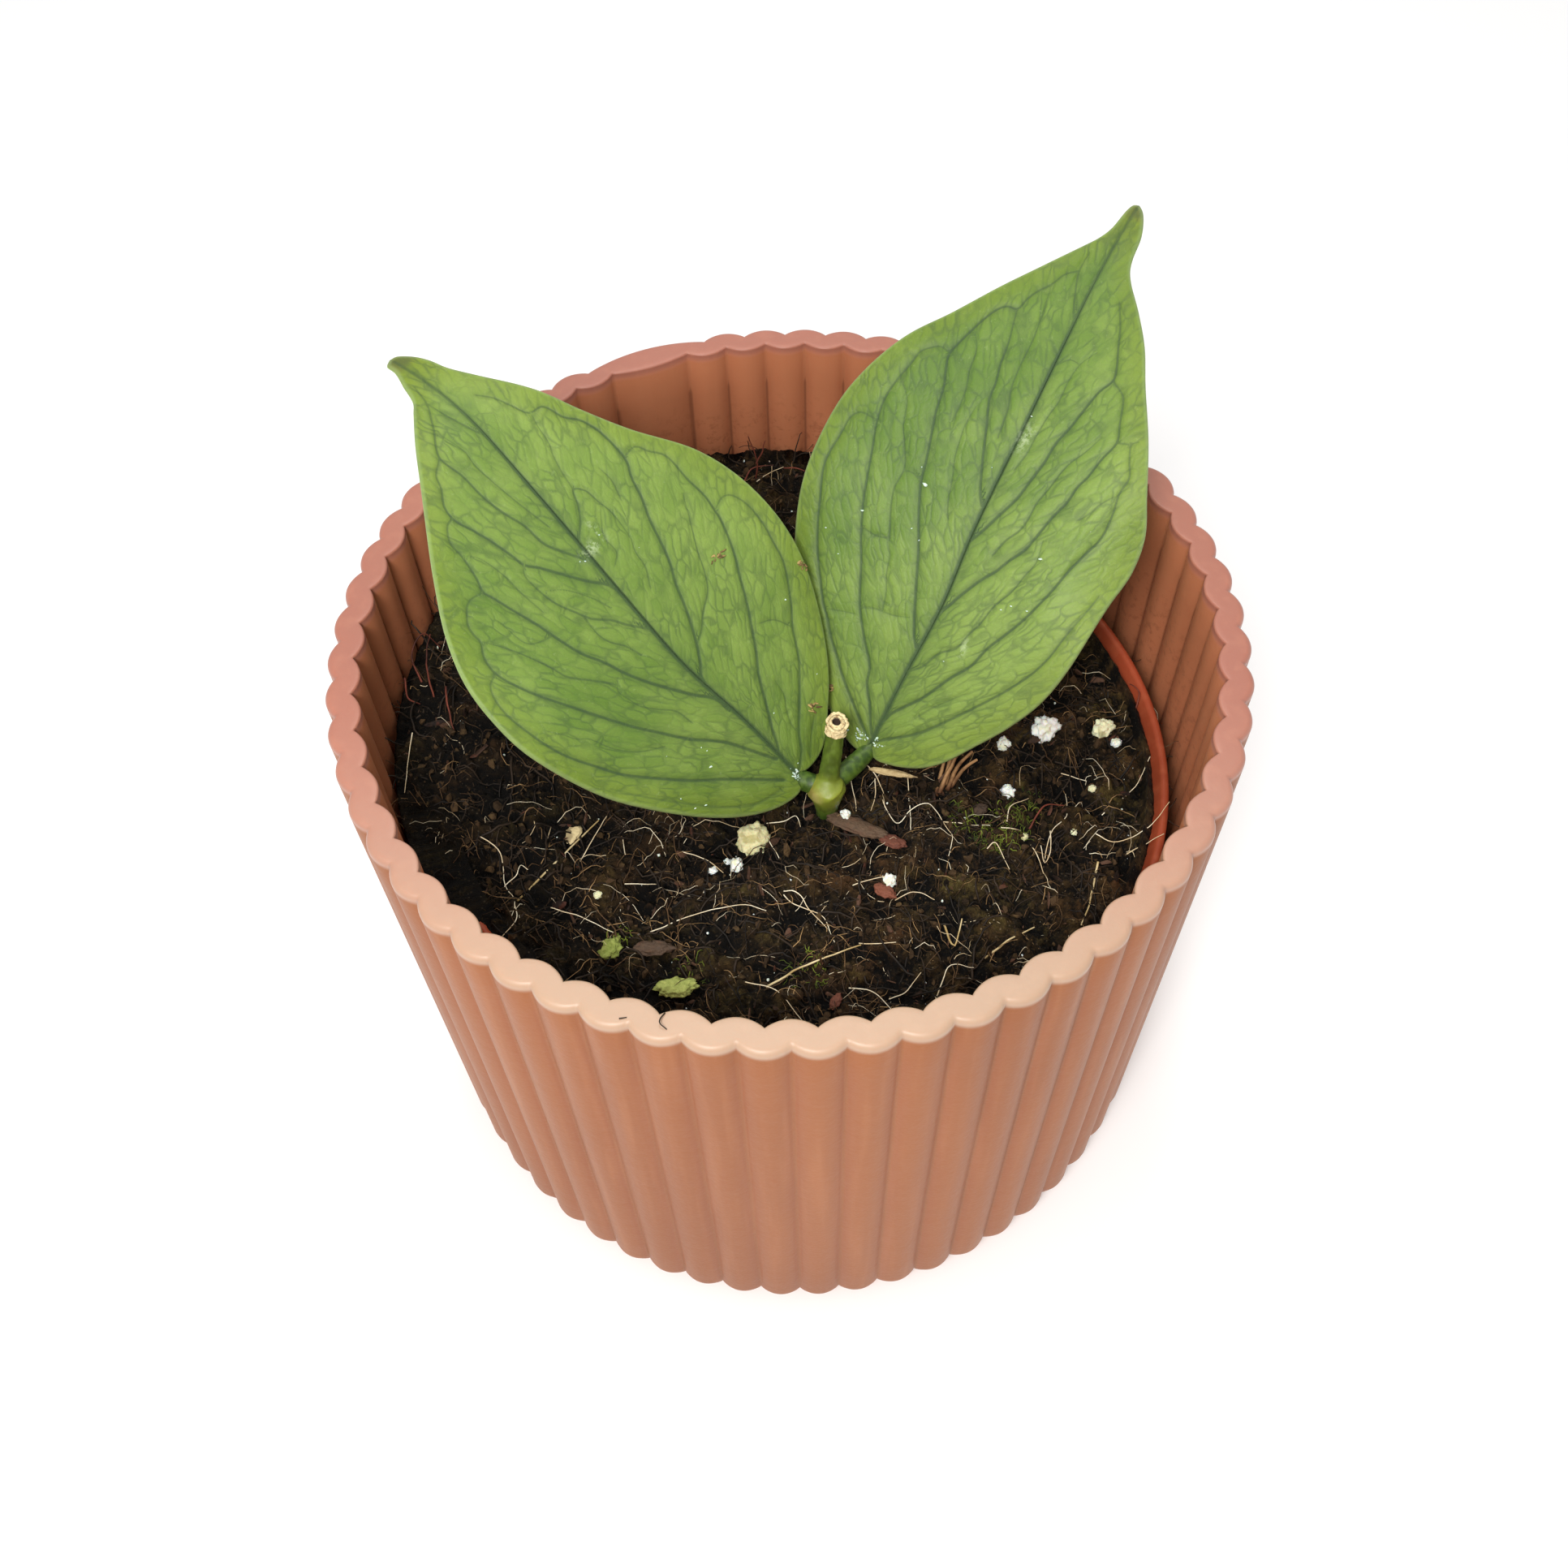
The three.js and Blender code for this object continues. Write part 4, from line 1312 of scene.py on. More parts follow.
@dataclass
class Litter:
    """What lies on the soil: perlite, bark, moss, straws, roots and crumbs."""

    surface: BVHTree
    form: SoilForm
    seed: int = 7
    middle: Flat = (1.0, -1.5)
    reach: float = 45.5
    spilled: float = 4.2
    measured_to: float = 48.5
    slot: str = "potting_soil"
    sky: float = 100.0

    def __post_init__(self) -> None:
        """Seed the draws."""
        self.draws = np.random.default_rng(self.seed)

    def ground(self, x: float, y: float) -> float:
        """Return the height of the soil at a place."""
        hit = self.surface.ray_cast(Vector((x, y, self.sky)), -UP)[0]
        return hit.z if hit is not None else float(self.form.top(np.array(x), np.array(y)))

    def spot(self) -> Flat:
        """Draw a random place on the soil, further out where it has spilled over the rim.

        Returns:
            The place.
        """
        turn = self.draws.uniform(0, FULL_TURN)
        beyond = math.hypot(max(-math.cos(turn), 0.0), max(math.sin(turn), 0.0))
        reach = self.reach + self.spilled * float(smoothstep(beyond, 0.8, 1.0))
        away = reach * math.sqrt(self.draws.uniform(0, 1))
        return self.middle[0] + away * math.cos(turn), self.middle[1] + away * math.sin(turn)

    def any_turn(self) -> Matrix:
        """Draw a random turn.

        Returns:
            The turn.
        """
        angles = self.draws.uniform(0, FULL_TURN, 3)
        x, y, z = (Matrix.Rotation(angle, 3, axis) for angle, axis in zip(angles, "XYZ"))
        return x @ y @ z

    def grit(self, spots: tuple, rough: float, flatten: float) -> Heap:
        """Lay round grains.

        Args:
            spots: Place and size of each.
            rough: How uneven each is.
            flatten: Its height as a share of its width.

        Returns:
            The grains.
        """
        heap = Heap()
        for k, (x, y, size) in enumerate(spots):
            half = size / 2
            place = Vector((x, y, self.ground(x, y) + 0.55 * half * flatten))
            turn = Matrix.Rotation(self.draws.uniform(0, FULL_TURN), 3, "Z")
            heap.add(place, (half, half * 0.86, half * flatten), turn, 4, rough, 3.1 * k + 1,
                     self.draws.uniform(0.3, 1.0), 1.6)
        return heap

    def flakes(self, spots: tuple, thick: float, tilt: float, rough: float) -> Heap:
        """Lay flat bits.

        Args:
            spots: Place, length, width and turn of each, with how high it is propped up where it is.
            thick: Their thickness.
            tilt: How far they lean, in degrees.
            rough: How uneven they are.

        Returns:
            The bits.
        """
        heap = Heap()
        for k, (x, y, length, width, turn, *lifted) in enumerate(spots):
            way = Matrix.Rotation(math.radians(turn), 3, "Z") @ Matrix.Rotation(math.radians(tilt), 3, "X")
            place = Vector((x, y, self.ground(x, y) + thick * 0.45 + sum(lifted)))
            heap.add(place, (length / 2, width / 2, thick / 2), way, 4, rough, 5.3 * k + 2,
                     self.draws.uniform(0.2, 0.9), 1.4)
        return heap

    def scatter(self, count: int, size: Flat, shape: Point, rough: float, smooth: bool) -> Heap:
        """Scatter small bits at random.

        Args:
            count: How many there are.
            size: Smallest and largest half length.
            shape: Their three proportions.
            rough: How uneven each is.
            smooth: Whether their shading is smooth.

        Returns:
            The bits.
        """
        heap = Heap(smooth)
        for k in range(count):
            x, y = self.spot()
            half = size[0] + (size[1] - size[0]) * self.draws.uniform(0, 1) ** 2.5
            place = Vector((x, y, self.ground(x, y) + 0.35 * half * shape[2]))
            form = half * np.array(shape) * self.draws.uniform(0.6, 1.0, 3)
            heap.add(place, form, self.any_turn(), 1, rough, 0.7 * k, self.draws.uniform(0, 1))
        return heap

    def thread_line(self, x: float, y: float, length: float, curl: float, lift: float, steps: int) -> Array:
        """Let a fibre wander over the soil.

        Args:
            x: Where it starts.
            y: Where it starts.
            length: How long it is.
            curl: How strongly it bends.
            lift: How high its middle stands.
            steps: How many parts it has.

        Returns:
            Its places.
        """
        heading = self.draws.uniform(0, FULL_TURN)
        turn = self.draws.normal(0, curl)
        spots = []
        for k in range(steps + 1):
            share = k / steps
            rise = lift * math.sin(math.pi * share) - 0.12
            away = math.hypot(x - self.middle[0], y - self.middle[1])
            z = self.ground(x, y) if away < self.measured_to or not spots else spots[-1][2]
            spots.append((x, y, z + rise))
            heading += turn / steps + self.draws.normal(0, curl * 0.35)
            x += length / steps * math.cos(heading)
            y += length / steps * math.sin(heading)
        return np.array(spots)

    def threads(self, count: int, radius: Flat, length: Flat, lift: float, curl: float = 0.9,
                spots: Optional[Sequence[Flat]] = None) -> Strands:
        """Scatter fibres.

        Args:
            count: How many there are.
            radius: Thinnest and thickest.
            length: Shortest and longest.
            lift: How high the liveliest stands.
            curl: How strongly they bend.
            spots: Where they start, if not anywhere.

        Returns:
            The fibres.
        """
        strands = Strands()
        for k in range(count):
            x, y = self.spot() if spots is None else spots[k]
            run = length[0] + (length[1] - length[0]) * self.draws.uniform(0, 1) ** 1.7
            steps = 8 if run > 4 else 5
            line = self.thread_line(x, y, run, curl, lift * self.draws.uniform(0, 1) ** 2, steps)
            strands.add(line, self.draws.uniform(*radius) * np.linspace(1.0, 0.5, steps + 1))
        return strands

    def named(self, lines: Sequence[Sequence], radius: float, lift: float,
              floor_height: Optional[float] = None) -> Strands:
        """Lay the fibres that stand out, along given places.

        Args:
            lines: The places of each, with an optional third number for the height over the soil.
            radius: Their radius.
            lift: How high they lie over the soil.
            floor_height: The height that they lie on, where it isn't the soil.

        Returns:
            The fibres.
        """
        strands = Strands()
        for line in lines:
            spots = []
            for x, y, *over in line:
                floor = self.ground(x, y) if floor_height is None else floor_height
                spots.append((x, y, floor + (over[0] if over else lift)))
            smooth = smooth_curve(spots, max(10, 5 * len(spots)))
            wobble = [[noise.noise(Vector(spot) * 0.6 + Vector((k, 0, 0))) for k in (3, 17, 29)]
                      for spot in smooth]
            strands.add(smooth + 0.15 * np.array(wobble), radius * np.linspace(1.0, 0.6, len(smooth)))
        return strands

    def moss(self, tufts: Sequence[Sequence[float]]) -> Strands:
        """Grow tufts of moss.

        Args:
            tufts: Place, spread and number of strands of each.

        Returns:
            The strands.
        """
        spots = []
        for x, y, spread, count in tufts:
            away = spread * np.sqrt(self.draws.uniform(0, 1, count))
            turn = self.draws.uniform(0, FULL_TURN, count)
            spots += list(zip((x + away * np.cos(turn)).tolist(), (y + away * np.sin(turn)).tolist()))
        return self.threads(len(spots), (0.04, 0.1), (0.5, 1.8), 0.8, 1.6, spots)

    def build(self) -> None:
        """Lay everything."""
        lots = ((self.grit, GRAINS), (self.flakes, FLAKES), (self.scatter, CRUMBS), (self.threads, FIBRES),
                (self.moss, MOSS), (self.named, NAMED))
        for lay, rows in lots:
            for name, finish, *facts in rows:
                lay(*facts).finish(name, finish, self.slot)


# The fibres that stand out, each from end to end
PALE_ROOTS = (
    ((7.1, -4.4, 3), (8.3, -11.7, 0.1)),
    ((8.5, -4.6, 2.6), (10.7, -6.7, 1.6), (11.7, -8.2), (11.7, -10.6), (12.7, -12.4), (13.6, -12.4),
     (15.1, -11.4, 1.2), (17, -10.8, 1.5), (18.3, -11.3, 1.3), (19.4, -13.3), (20.2, -15.1), (19.6, -17.4)),
    ((10.7, -7, 1.2), (10.7, -9.7), (10.1, -11.7)), ((15, -6.3, 1), (15.1, -10.5), (15, -14.1)),
    ((-3.1, -13.1, 0.6), (-0.7, -12.7, 1), (0.7, -11.9, 1.2), (1.1, -13.2, 0.2)),
    ((-3.1, -15.1), (-1.6, -18)), ((39.6, -11), (44.4, -7.1, 1.2), (46.4, -3.5, 2.2)),
    ((38.3, -14.7), (40.7, -15.8, 0.8), (45, -14.1, 1.2), (47.6, -11.4, 2.4)),
    ((42, -17.1), (46.5, -15.7, 1.6)), ((27.4, -12.7), (27.8, -11, 1.4), (30.4, -9.2, 0.6)),
    ((31.5, -18.2), (32.8, -14.3, 0.9), (34.9, -11.7), (35.5, -7.3)), ((19, -12.9, 0.6), (25.2, -12.9, 1)),
    ((26.4, -13.6), (28, -14.4, 0.8), (29, -13.9)),
    ((32.6, -14.3, 1.2), (32.2, -17.6, 1.6), (31.4, -18.8, 0.6), (31, -16.9, 1.4)),
    ((24.4, -16.9), (25.4, -16.3, 1.1), (26.6, -18.4), (27, -19.6)),
    ((30, -16), (30.8, -18.4, 0.8), (31.2, -20.2)), ((35, -4.9), (38.3, -5.7)),
    ((-37.7, -18.3), (-35.4, -19.9, 0.8), (-34.5, -23.8, 0.7), (-32.8, -27.2), (-33.1, -29)),
    ((-34.4, -24.4, 0.9), (-32.9, -23.6, 1.6), (-32.6, -22, 1.9), (-31.8, -22.2, 1.2)),
    ((-32.9, -27), (-32.4, -29.6, 0.5), (-34.2, -31.8), (-34, -34), (-32.2, -36.6)),
    ((-47.2, -4.4, 1.4), (-47.6, -8, 1), (-47.6, -12.2, 0.4)),
    ((-29, -26.4, 0.2), (-25, -28.2, 0.9), (-21.4, -29.4, 0.4)),
    ((-17, -29.6), (-13, -27.2, 0.8), (-9, -25.8, 1), (-5.4, -25.4, 0.9), (-3.2, -26, 0.3)),
    ((-20.4, -23), (-16.6, -22.4, 0.6)), ((-13.6, -17.4, 0.3), (-10.4, -19.6, 0.8), (-8.4, -20.6, 0.5)),
    ((-1, -23.5, 0.4), (0.4, -24, 0.9), (2.6, -26.4, 0.7), (4.6, -28.6, 0.2)),
    ((-1, -24, 0.4), (0, -25.4, 0.7), (3.6, -26.6, 0.6), (5, -30.2, 0.1)),
    ((7.4, -22.8, 0.4), (10, -21.6, 0.8), (12.4, -21.2, 0.9)),
    ((12.6, -24.2), (15, -22.8, 0.9), (17.4, -23.9, 0.6)), ((17, -37.4), (18.6, -34, 1.1), (21.6, -33.4, 1)),
    ((8, -30), (10.4, -30.6, 0.8), (12.4, -30.6, 0.6)), ((6.6, -35.8), (9.4, -36.8, 0.8), (11.6, -39, 0.6)),
    ((11.4, -37), (13.4, -36.6, 0.8), (15.2, -34.6, 0.8)),
    ((-4.4, 41.9, 0.8), (-2.7, 44, 1.4), (-0.6, 45.2, 1.4)),
    ((-5.6, -36.3, 0.9), (-2, -37.4, 0.9), (1.2, -40.8, 0.3)), ((-26, -19.4, 0.2), (-23, -13.6, 1.6)),
    ((-20.8, -16.6, 0.2), (-20.4, -19, 0.9)),
)
STRAWS = (
    ((-3.1, -36.3, 0.6), (2.6, -33.2, 0.8), (8.2, -30.5, 0.9)),
    ((37.7, -19.7, 0.9), (36.4, -24.6, 0.6), (35.1, -27.5, 0.3)),
    ((18.4, -27.2), (19.4, -30.6, 1), (20.6, -27, 1.2)), ((23, -32), (26, -29.8, 0.8), (29.4, -27.6, 1.2)),
    ((-33, -26, 0.3), (-24, -14, 1.6)),
)
RED_ROOTS = (
    ((-43.9, 3.1, 2.2), (-43.4, 0.4, 1.2), (-42.8, -2.2, 0.3)),
    ((-4.6, 43.6, 0), (-4.4, 44.2, 3.6), (-5.4, 44.6, 7.4)),
    ((-4.5, 44, 2.8), (-3.6, 44.4, 5), (-3, 44.5, 7)), ((-6.4, 42.6, 0.2), (-5.2, 44, 1.6), (-2, 44.6, 2.4)),
    ((-47.6, 5.1, 0.2), (-48.6, 7.6, 3), (-47.4, 10, 4.2), (-45.6, 10.3, 2.2)),
    ((-49.2, 4.1, 2.4), (-48.8, 2.1, 1.2), (-47.4, 2.1, 0.4)),
    ((-46, 3, 0.2), (-46.4, 6.4, 3.4), (-46, 9.4, 5)),
    ((-0.6, 45.4, 0.9), (1.2, 45.8, 1.1), (2.7, 45.5, 0.8)),
    ((30, -13.6, 0.4), (32, -11, 1.4), (34.6, -10.4, 0.6)), ((45.4, 4, 0.3), (46.4, 7, 2), (45.2, 9.8, 1)),
)
RIM_HAIR = (((-12.9, -50.1), (-13.4, -51.4, 0.5), (-12.6, -51.9, 0.1)), ((-17.6, -50.7), (-16.8, -50.6)))
BARK_FIBRES = (
    ((18.6, -8.6, 0.1), (19.4, -5, 0.9), (20.6, -1.6, 1.9)),
    ((19, -8.4, 0.5), (20.6, -5, 1.9), (22.6, -1.4, 2.9)),
    ((19.4, -8.2, 0.2), (20.4, -4.4, 1.2), (21.6, -0.8, 2.2)),
    ((20, -7.8, 0.3), (21.6, -4.4, 1.4), (23.6, -2.2, 1.8)),
    ((20.4, -7.2, 0.2), (22.4, -4.6, 1.1), (24.2, -3.2, 1.3)),
    ((19.8, -7, 0.2), (21, -3.6, 0.8), (22.4, -1.4, 1.2)),
)

# Grains: places and sizes, how uneven, how flat
GRAINS = (
    ("perlite_grains", PERLITE,
     ((33.4, 1.7, 3.7), (27.8, -0.8, 1.9), (27.8, -7.9, 2), (42.8, 0.2, 1.4), (6.8, -12.4, 1.4),
      (12, -21.6, 1.9), (-6.8, -19.5, 1.8), (-9.8, -20.4, 1.2), (-8, -18.4, 0.9)), 0.42, 0.8),
    ("stained_perlite_grains", STAINED_PERLITE,
     ((41.3, 2.3, 2.9), (-4.7, -15.8, 4.3), (29.4, -14.5, 1), (38.6, -7.8, 1.1), (35.6, -14, 1),
      (-23.4, -24.9, 1.1)), 0.35, 0.7),
)
# Flat bits: place, length, width and turn of each, how thick, how tilted, how uneven
FLAKES = (
    ("bark_chips", BARK,
     ((8.2, -14, 8.6, 2.4, -24), (-16.4, -31.8, 4.6, 2.1, 0), (24, -10.6, 2.2, 1.6, 20)), 1.1, -12, 0.3),
    ("red_bark_chips", RED_BARK,
     ((12.6, -16.2, 3.6, 2, -24), (11.4, -23.2, 2.9, 1.9, -35), (5, -38, 2.2, 1.3, 60)), 0.9, -14, 0.3),
    ("mossy_lumps", MOSSY, ((-13.5, -36.9, 4.6, 2.7, 5), (-21.6, -31.6, 3, 2.6, 60)), 1.4, -16, 0.45),
    ("pale_husks", HUSK, ((-27.1, -15.8, 3.4, 2.1, 70), (12.8, -8, 5.7, 1, -13, 2.9)), 0.7, -8, 0.25),
)
# Scattered bits: how many, half lengths, proportions, how uneven, whether smooth
CRUMBS = (
    ("peat_crumbs", DARK_CRUMB, 3000, (0.15, 0.9), (1, 0.8, 0.7), 1.1, False),
    ("woody_shards", SHARD, 520, (0.4, 2.2), (1, 0.33, 0.16), 0.5, False),
    ("perlite_specks", PERLITE, 150, (0.08, 0.36), (1, 0.8, 0.7), 0.6, True),
)
# Scattered fibres: how many, radii, lengths, how high
FIBRES = (
    ("dark_fibres", DARK_THREAD, 1700, (0.05, 0.2), (1.5, 9), 1.6),
    ("red_brown_fibres", RUST_THREAD, 1050, (0.03, 0.1), (1.2, 9), 1.8),
    ("tan_fibres", TAN_THREAD, 800, (0.025, 0.07), (1.2, 7), 1.8),
    ("pale_fibres", PALE_THREAD, 380, (0.022, 0.055), (1.2, 7), 2.2),
)
# Moss: place, spread and number of strands of each tuft
MOSS = (
    ("moss_tufts", MOSS_THREAD, ((26.1, -13.1, 3.8, 210), (22, -12, 2.4, 60), (-12.5, -35, 2.4, 30),
                                 (-20.5, -29.6, 1.8, 30), (2, -34, 3, 50), (30, -10, 2.4, 60))),
)
# Fibres laid one by one: their lines, radius, height over what they lie on, and its height if it isn't soil
NAMED = (
    ("long_pale_roots", PALE_THREAD, PALE_ROOTS, 0.078, 0.35),
    ("straws", STRAW_THREAD, STRAWS, 0.16, 0.5),
    ("red_roots", RED_THREAD, RED_ROOTS, 0.15, 0.8),
    ("bark_fibres", BARK_THREAD, BARK_FIBRES, 0.34, 0.7),
    ("rim_hair", DARK_THREAD, RIM_HAIR, 0.09, 0.06, CoverPot.height),
)


# Leaves

OUTLINE_STEPS = 700


def pairs(run: Sequence[float]) -> Array:
    """Return the [along, across] places of a flat run of numbers, a row each."""
    return np.reshape(run, (-1, 2))


@dataclass(frozen=True)
class Vein:
    """One vein in the blade's plane: a run of along and across, its width and how dark it is."""

    run: tuple
    width: float
    strength: float


@dataclass
class Leaf:
    """A blade on its short petiole, bent by the formula that the solids use."""

    name: str
    node: str
    base: Point
    tip: Point
    roll: float
    midrib: tuple
    left: tuple
    right: tuple
    veins: tuple
    scuffs: tuple
    bloom: Point
    arch: float = 5.0
    recurve: float = 4.0
    curl_at: float = 0.0
    curl_across: float = 0.0
    curl_drop: float = 0.0
    curl_length: float = 1.0
    thickness: float = 0.9
    keel_depth: float = 0.8
    keel_half: float = 0.2
    keel_fade: float = 0.7
    fold_slope: float = 0.06
    fold_round: float = 3.0
    edge_round: float = 0.55
    rows: int = 260
    upper_columns: int = 190
    lower_columns: int = 70
    joint: Point = (4.5, -11.0, 68.2)
    petiole_radius: float = 1.35
    petiole_tip: float = 0.7
    petiole_along: float = 9.0
    petiole_under: float = -0.8
    petiole_steps: int = 48
    bend_from: float = 0.8
    bend_over: float = 0.2
    midrib_width: float = 0.75
    midrib_stop: float = 0.6
    no_vein: float = 30.0
    faint: float = 0.4
    vein_sink: float = 0.09
    cell_swell: float = 0.09
    wave_height: float = 0.22
    wave_rate: float = 0.33
    wave_from: Flat = (9.0, 21.0)
    side_gap: float = 60.0

    def __post_init__(self) -> None:
        """Work out the blade's frame and its outlines."""
        start, end = np.array(self.base), np.array(self.tip)
        self.length = float(np.linalg.norm(end - start))
        self.along = (end - start) / self.length
        across = np.cross(self.along, (0, 0, 1))
        across /= np.linalg.norm(across)
        normal = np.cross(across, self.along)
        turn = Matrix.Rotation(math.radians(self.roll), 3, Vector(self.along))
        self.across = np.array(turn @ Vector(across))
        self.normal = np.array(turn @ Vector(normal))
        self.lines = {key: smooth_curve(pairs(run), OUTLINE_STEPS) for key, run in
                      (("midrib", self.midrib), ("left", self.left), ("right", self.right))}

    def read(self, key: str, share: Array) -> Array:
        """Return places on an outline for shares of its length."""
        steps = np.linspace(0, 1, OUTLINE_STEPS)
        return np.stack([np.interp(share, steps, self.lines[key][:, axis]) for axis in (0, 1)], 1)

    def height(self, u: Array, w: Array) -> Array:
        """Work out how far the blade stands over its plane.

        Args:
            u: Places along the blade.
            w: Places across it.

        Returns:
            The height at each.
        """
        q = u / self.length
        arch = self.arch * 4 * q * (1 - q)
        fold = self.fold_slope * (np.hypot(w, self.fold_round) - self.fold_round)
        bend = self.recurve * np.clip((q - self.bend_from) / self.bend_over, 0, 2) ** 2
        near = np.exp(-((u - self.curl_at) / self.curl_length) ** 2)
        return arch + fold - bend - self.curl_drop * near * np.maximum(0, w - self.curl_across)

    def lift(self, u: Array, w: Array, over: Array) -> Array:
        """Return the places over the blade's plane."""
        high = (self.height(u, w) + over)[:, None]
        return np.array(self.base) + u[:, None] * self.along + w[:, None] * self.across + high * self.normal

    def nearest_vein(self, u: Array, w: Array) -> tuple[Array, Array, Array]:
        """Measure how near the veins are.

        Args:
            u: Places along the blade.
            w: Places across it.

        Returns:
            The distance to the nearest vein in half widths, the same signed by its side, and its strength.
        """
        plain, side = np.full((2, len(u)), self.no_vein)
        strength = np.full(len(u), self.faint)
        *stalk, end, off = self.midrib
        spine = Vein((*stalk, end - self.midrib_stop, off), self.midrib_width, 1.0)
        for vein in (spine, *self.veins):
            line = smooth_curve(pairs(vein.run), 2 * len(vein.run) + 6)
            low, high = line.min(0) - 4.0, line.max(0) + 4.0
            close = np.nonzero((u > low[0]) & (u < high[0]) & (w > low[1]) & (w < high[1]))[0]
            run = np.linspace(0, 1, len(line))
            for k, (a, b) in enumerate(zip(line, line[1:])):
                step = b - a
                du, dw = u[close] - a[0], w[close] - a[1]
                share = np.clip((du * step[0] + dw * step[1]) / (step @ step), 0, 1)
                off = np.hypot(du - share * step[0], dw - share * step[1])
                half = vein.width / 2 * (0.95 - 0.45 * run[k])
                scaled = off / half
                better = scaled < plain[close]
                which = close[better]
                plain[which] = scaled[better]
                sign = np.where(step[0] * dw - step[1] * du < 0, -1.0, 1.0)
                side[which] = (scaled * sign)[better]
                strength[which] = vein.strength * (1.0 - 0.45 * max(0.0, run[k] - 0.7) / 0.3)
        return plain, side, strength

    def build(self) -> None:
        """Build the blade and its petiole and dress them."""
        columns = self.upper_columns + self.lower_columns
        upper_share = self.upper_columns / columns
        facts = {}

        def place(p: Array, q: Array) -> Array:
            """Find the places of both faces.

            Args:
                p: How far each is across the upper face and back underneath, from 0 to 1.
                q: How far from the foot to the tip, from 0 to 1.

            Returns:
                The places.
            """
            top = p <= upper_share + 1e-6
            x = np.where(top, -1 + 2 * p / upper_share, 1 - 2 * (p - upper_share) / (1 - upper_share))
            t = np.clip(0.72 * x + 0.28 * np.sin(math.pi * x / 2), -1, 1)
            spine = self.read("midrib", q)
            rim = np.where((t < 0)[:, None], self.read("left", q), self.read("right", q))
            u, w = (spine + (rim - spine) * np.abs(t)[:, None]).T
            width = np.linalg.norm(rim - spine, axis=1)
            from_spine = np.abs(t) * width
            edge = (1 - np.abs(t)) * width
            rounding = np.sqrt(np.clip(1 - (1 - np.clip(edge / self.edge_round, 0, 1)) ** 2, 0, 1))
            ends = np.sqrt(np.clip(np.minimum(q, 1 - q) / 0.008, 0, 1))
            half = self.thickness / 2 * rounding * ends
            plain, side, strength = self.nearest_vein(u, w)
            sunk = self.vein_sink * strength * np.exp(-(plain / 1.8) ** 2)
            swell = self.cell_swell * (1 - np.exp(-(plain * 0.2) ** 2)) * smoothstep(edge, 0.3, 2.5)
            waves = self.wave_height * np.sin(u * self.wave_rate + np.sign(w) * 0.8)
            waves = waves * smoothstep(width - edge, *self.wave_from)
            ridge = self.keel_depth * np.maximum(0, 1 - np.abs(t) / self.keel_half) * (1 - self.keel_fade * q)
            over = np.where(top, half + (swell - sunk) * rounding, -half - ridge * rounding * 0.9) + waves
            other_side = np.where(t < 0, self.side_gap, 0.0)
            # Painted light: a slope of lightness over the blade, from its start and its rise along and
            # across.
            start, along, across = self.bloom
            facts.update(
                vein_side=side, vein_plain=plain, vein_strength=strength, edge_distance=edge,
                upper_face=np.where(top & (rounding > 0.2), 1.0, 0.0),
                flow_along=u + 0.4 * from_spine,
                flow_across=from_spine - 0.72 * u + 0.3 * u * u / self.length + other_side,
                tip_share=smoothstep(u, self.length * 0.9, self.length),
                scuff=self.scuffed(u, w), bloom=np.clip(start + along * u + across * w, -0.4, 0.6),
            )
            return self.lift(u, w, over)

        bm = mapped_grid(columns, self.rows, place)
        for key, values in facts.items():
            set_values(bm, key, values)
        close_up(bm, 2e-4)
        self.add_petiole(bm)
        leaf = to_piece(bm, self.name)
        seat(leaf, "leaf", BLADE_SKIN.build(), StemSkin("petiole_skin").build())
        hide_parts(self.node)

    def scuffed(self, u: Array, w: Array) -> Array:
        """Return how scuffed each place is."""
        marks = [np.exp(-((u - a) / ru) ** 2 - ((w - b) / rw) ** 2) for a, b, ru, rw in self.scuffs]
        return np.clip(sum(marks), 0, 1)

    def on_blade(self, u: float, w: float, over: float) -> Vector:
        """Return one place over the upper face."""
        return Vector(self.lift(np.array([u]), np.array([w]), np.array([self.thickness / 2 + over]))[0])

    def add_petiole(self, bm: Mesh) -> None:
        """Run the petiole from the stem's joint into the underside of the midrib.

        Args:
            bm: The blade's mesh.
        """
        under = [self.lift(np.array([u]), np.array([0.0]), np.array([self.petiole_under]))[0]
                 for u in (0.0, self.petiole_along / 2, self.petiole_along)]
        line = smooth_curve([self.joint, *under], self.petiole_steps)
        share = np.linspace(0, 1, self.petiole_steps)
        swell = 0.12 * np.exp(-((share - 0.3) / 0.12) ** 2)
        radii = self.petiole_radius + (self.petiole_tip - self.petiole_radius) * share + swell
        petiole = tube(line, radii, 28)
        close_up(petiole)
        for face in petiole.faces:
            face.material_index = 1
        join(bm, petiole)
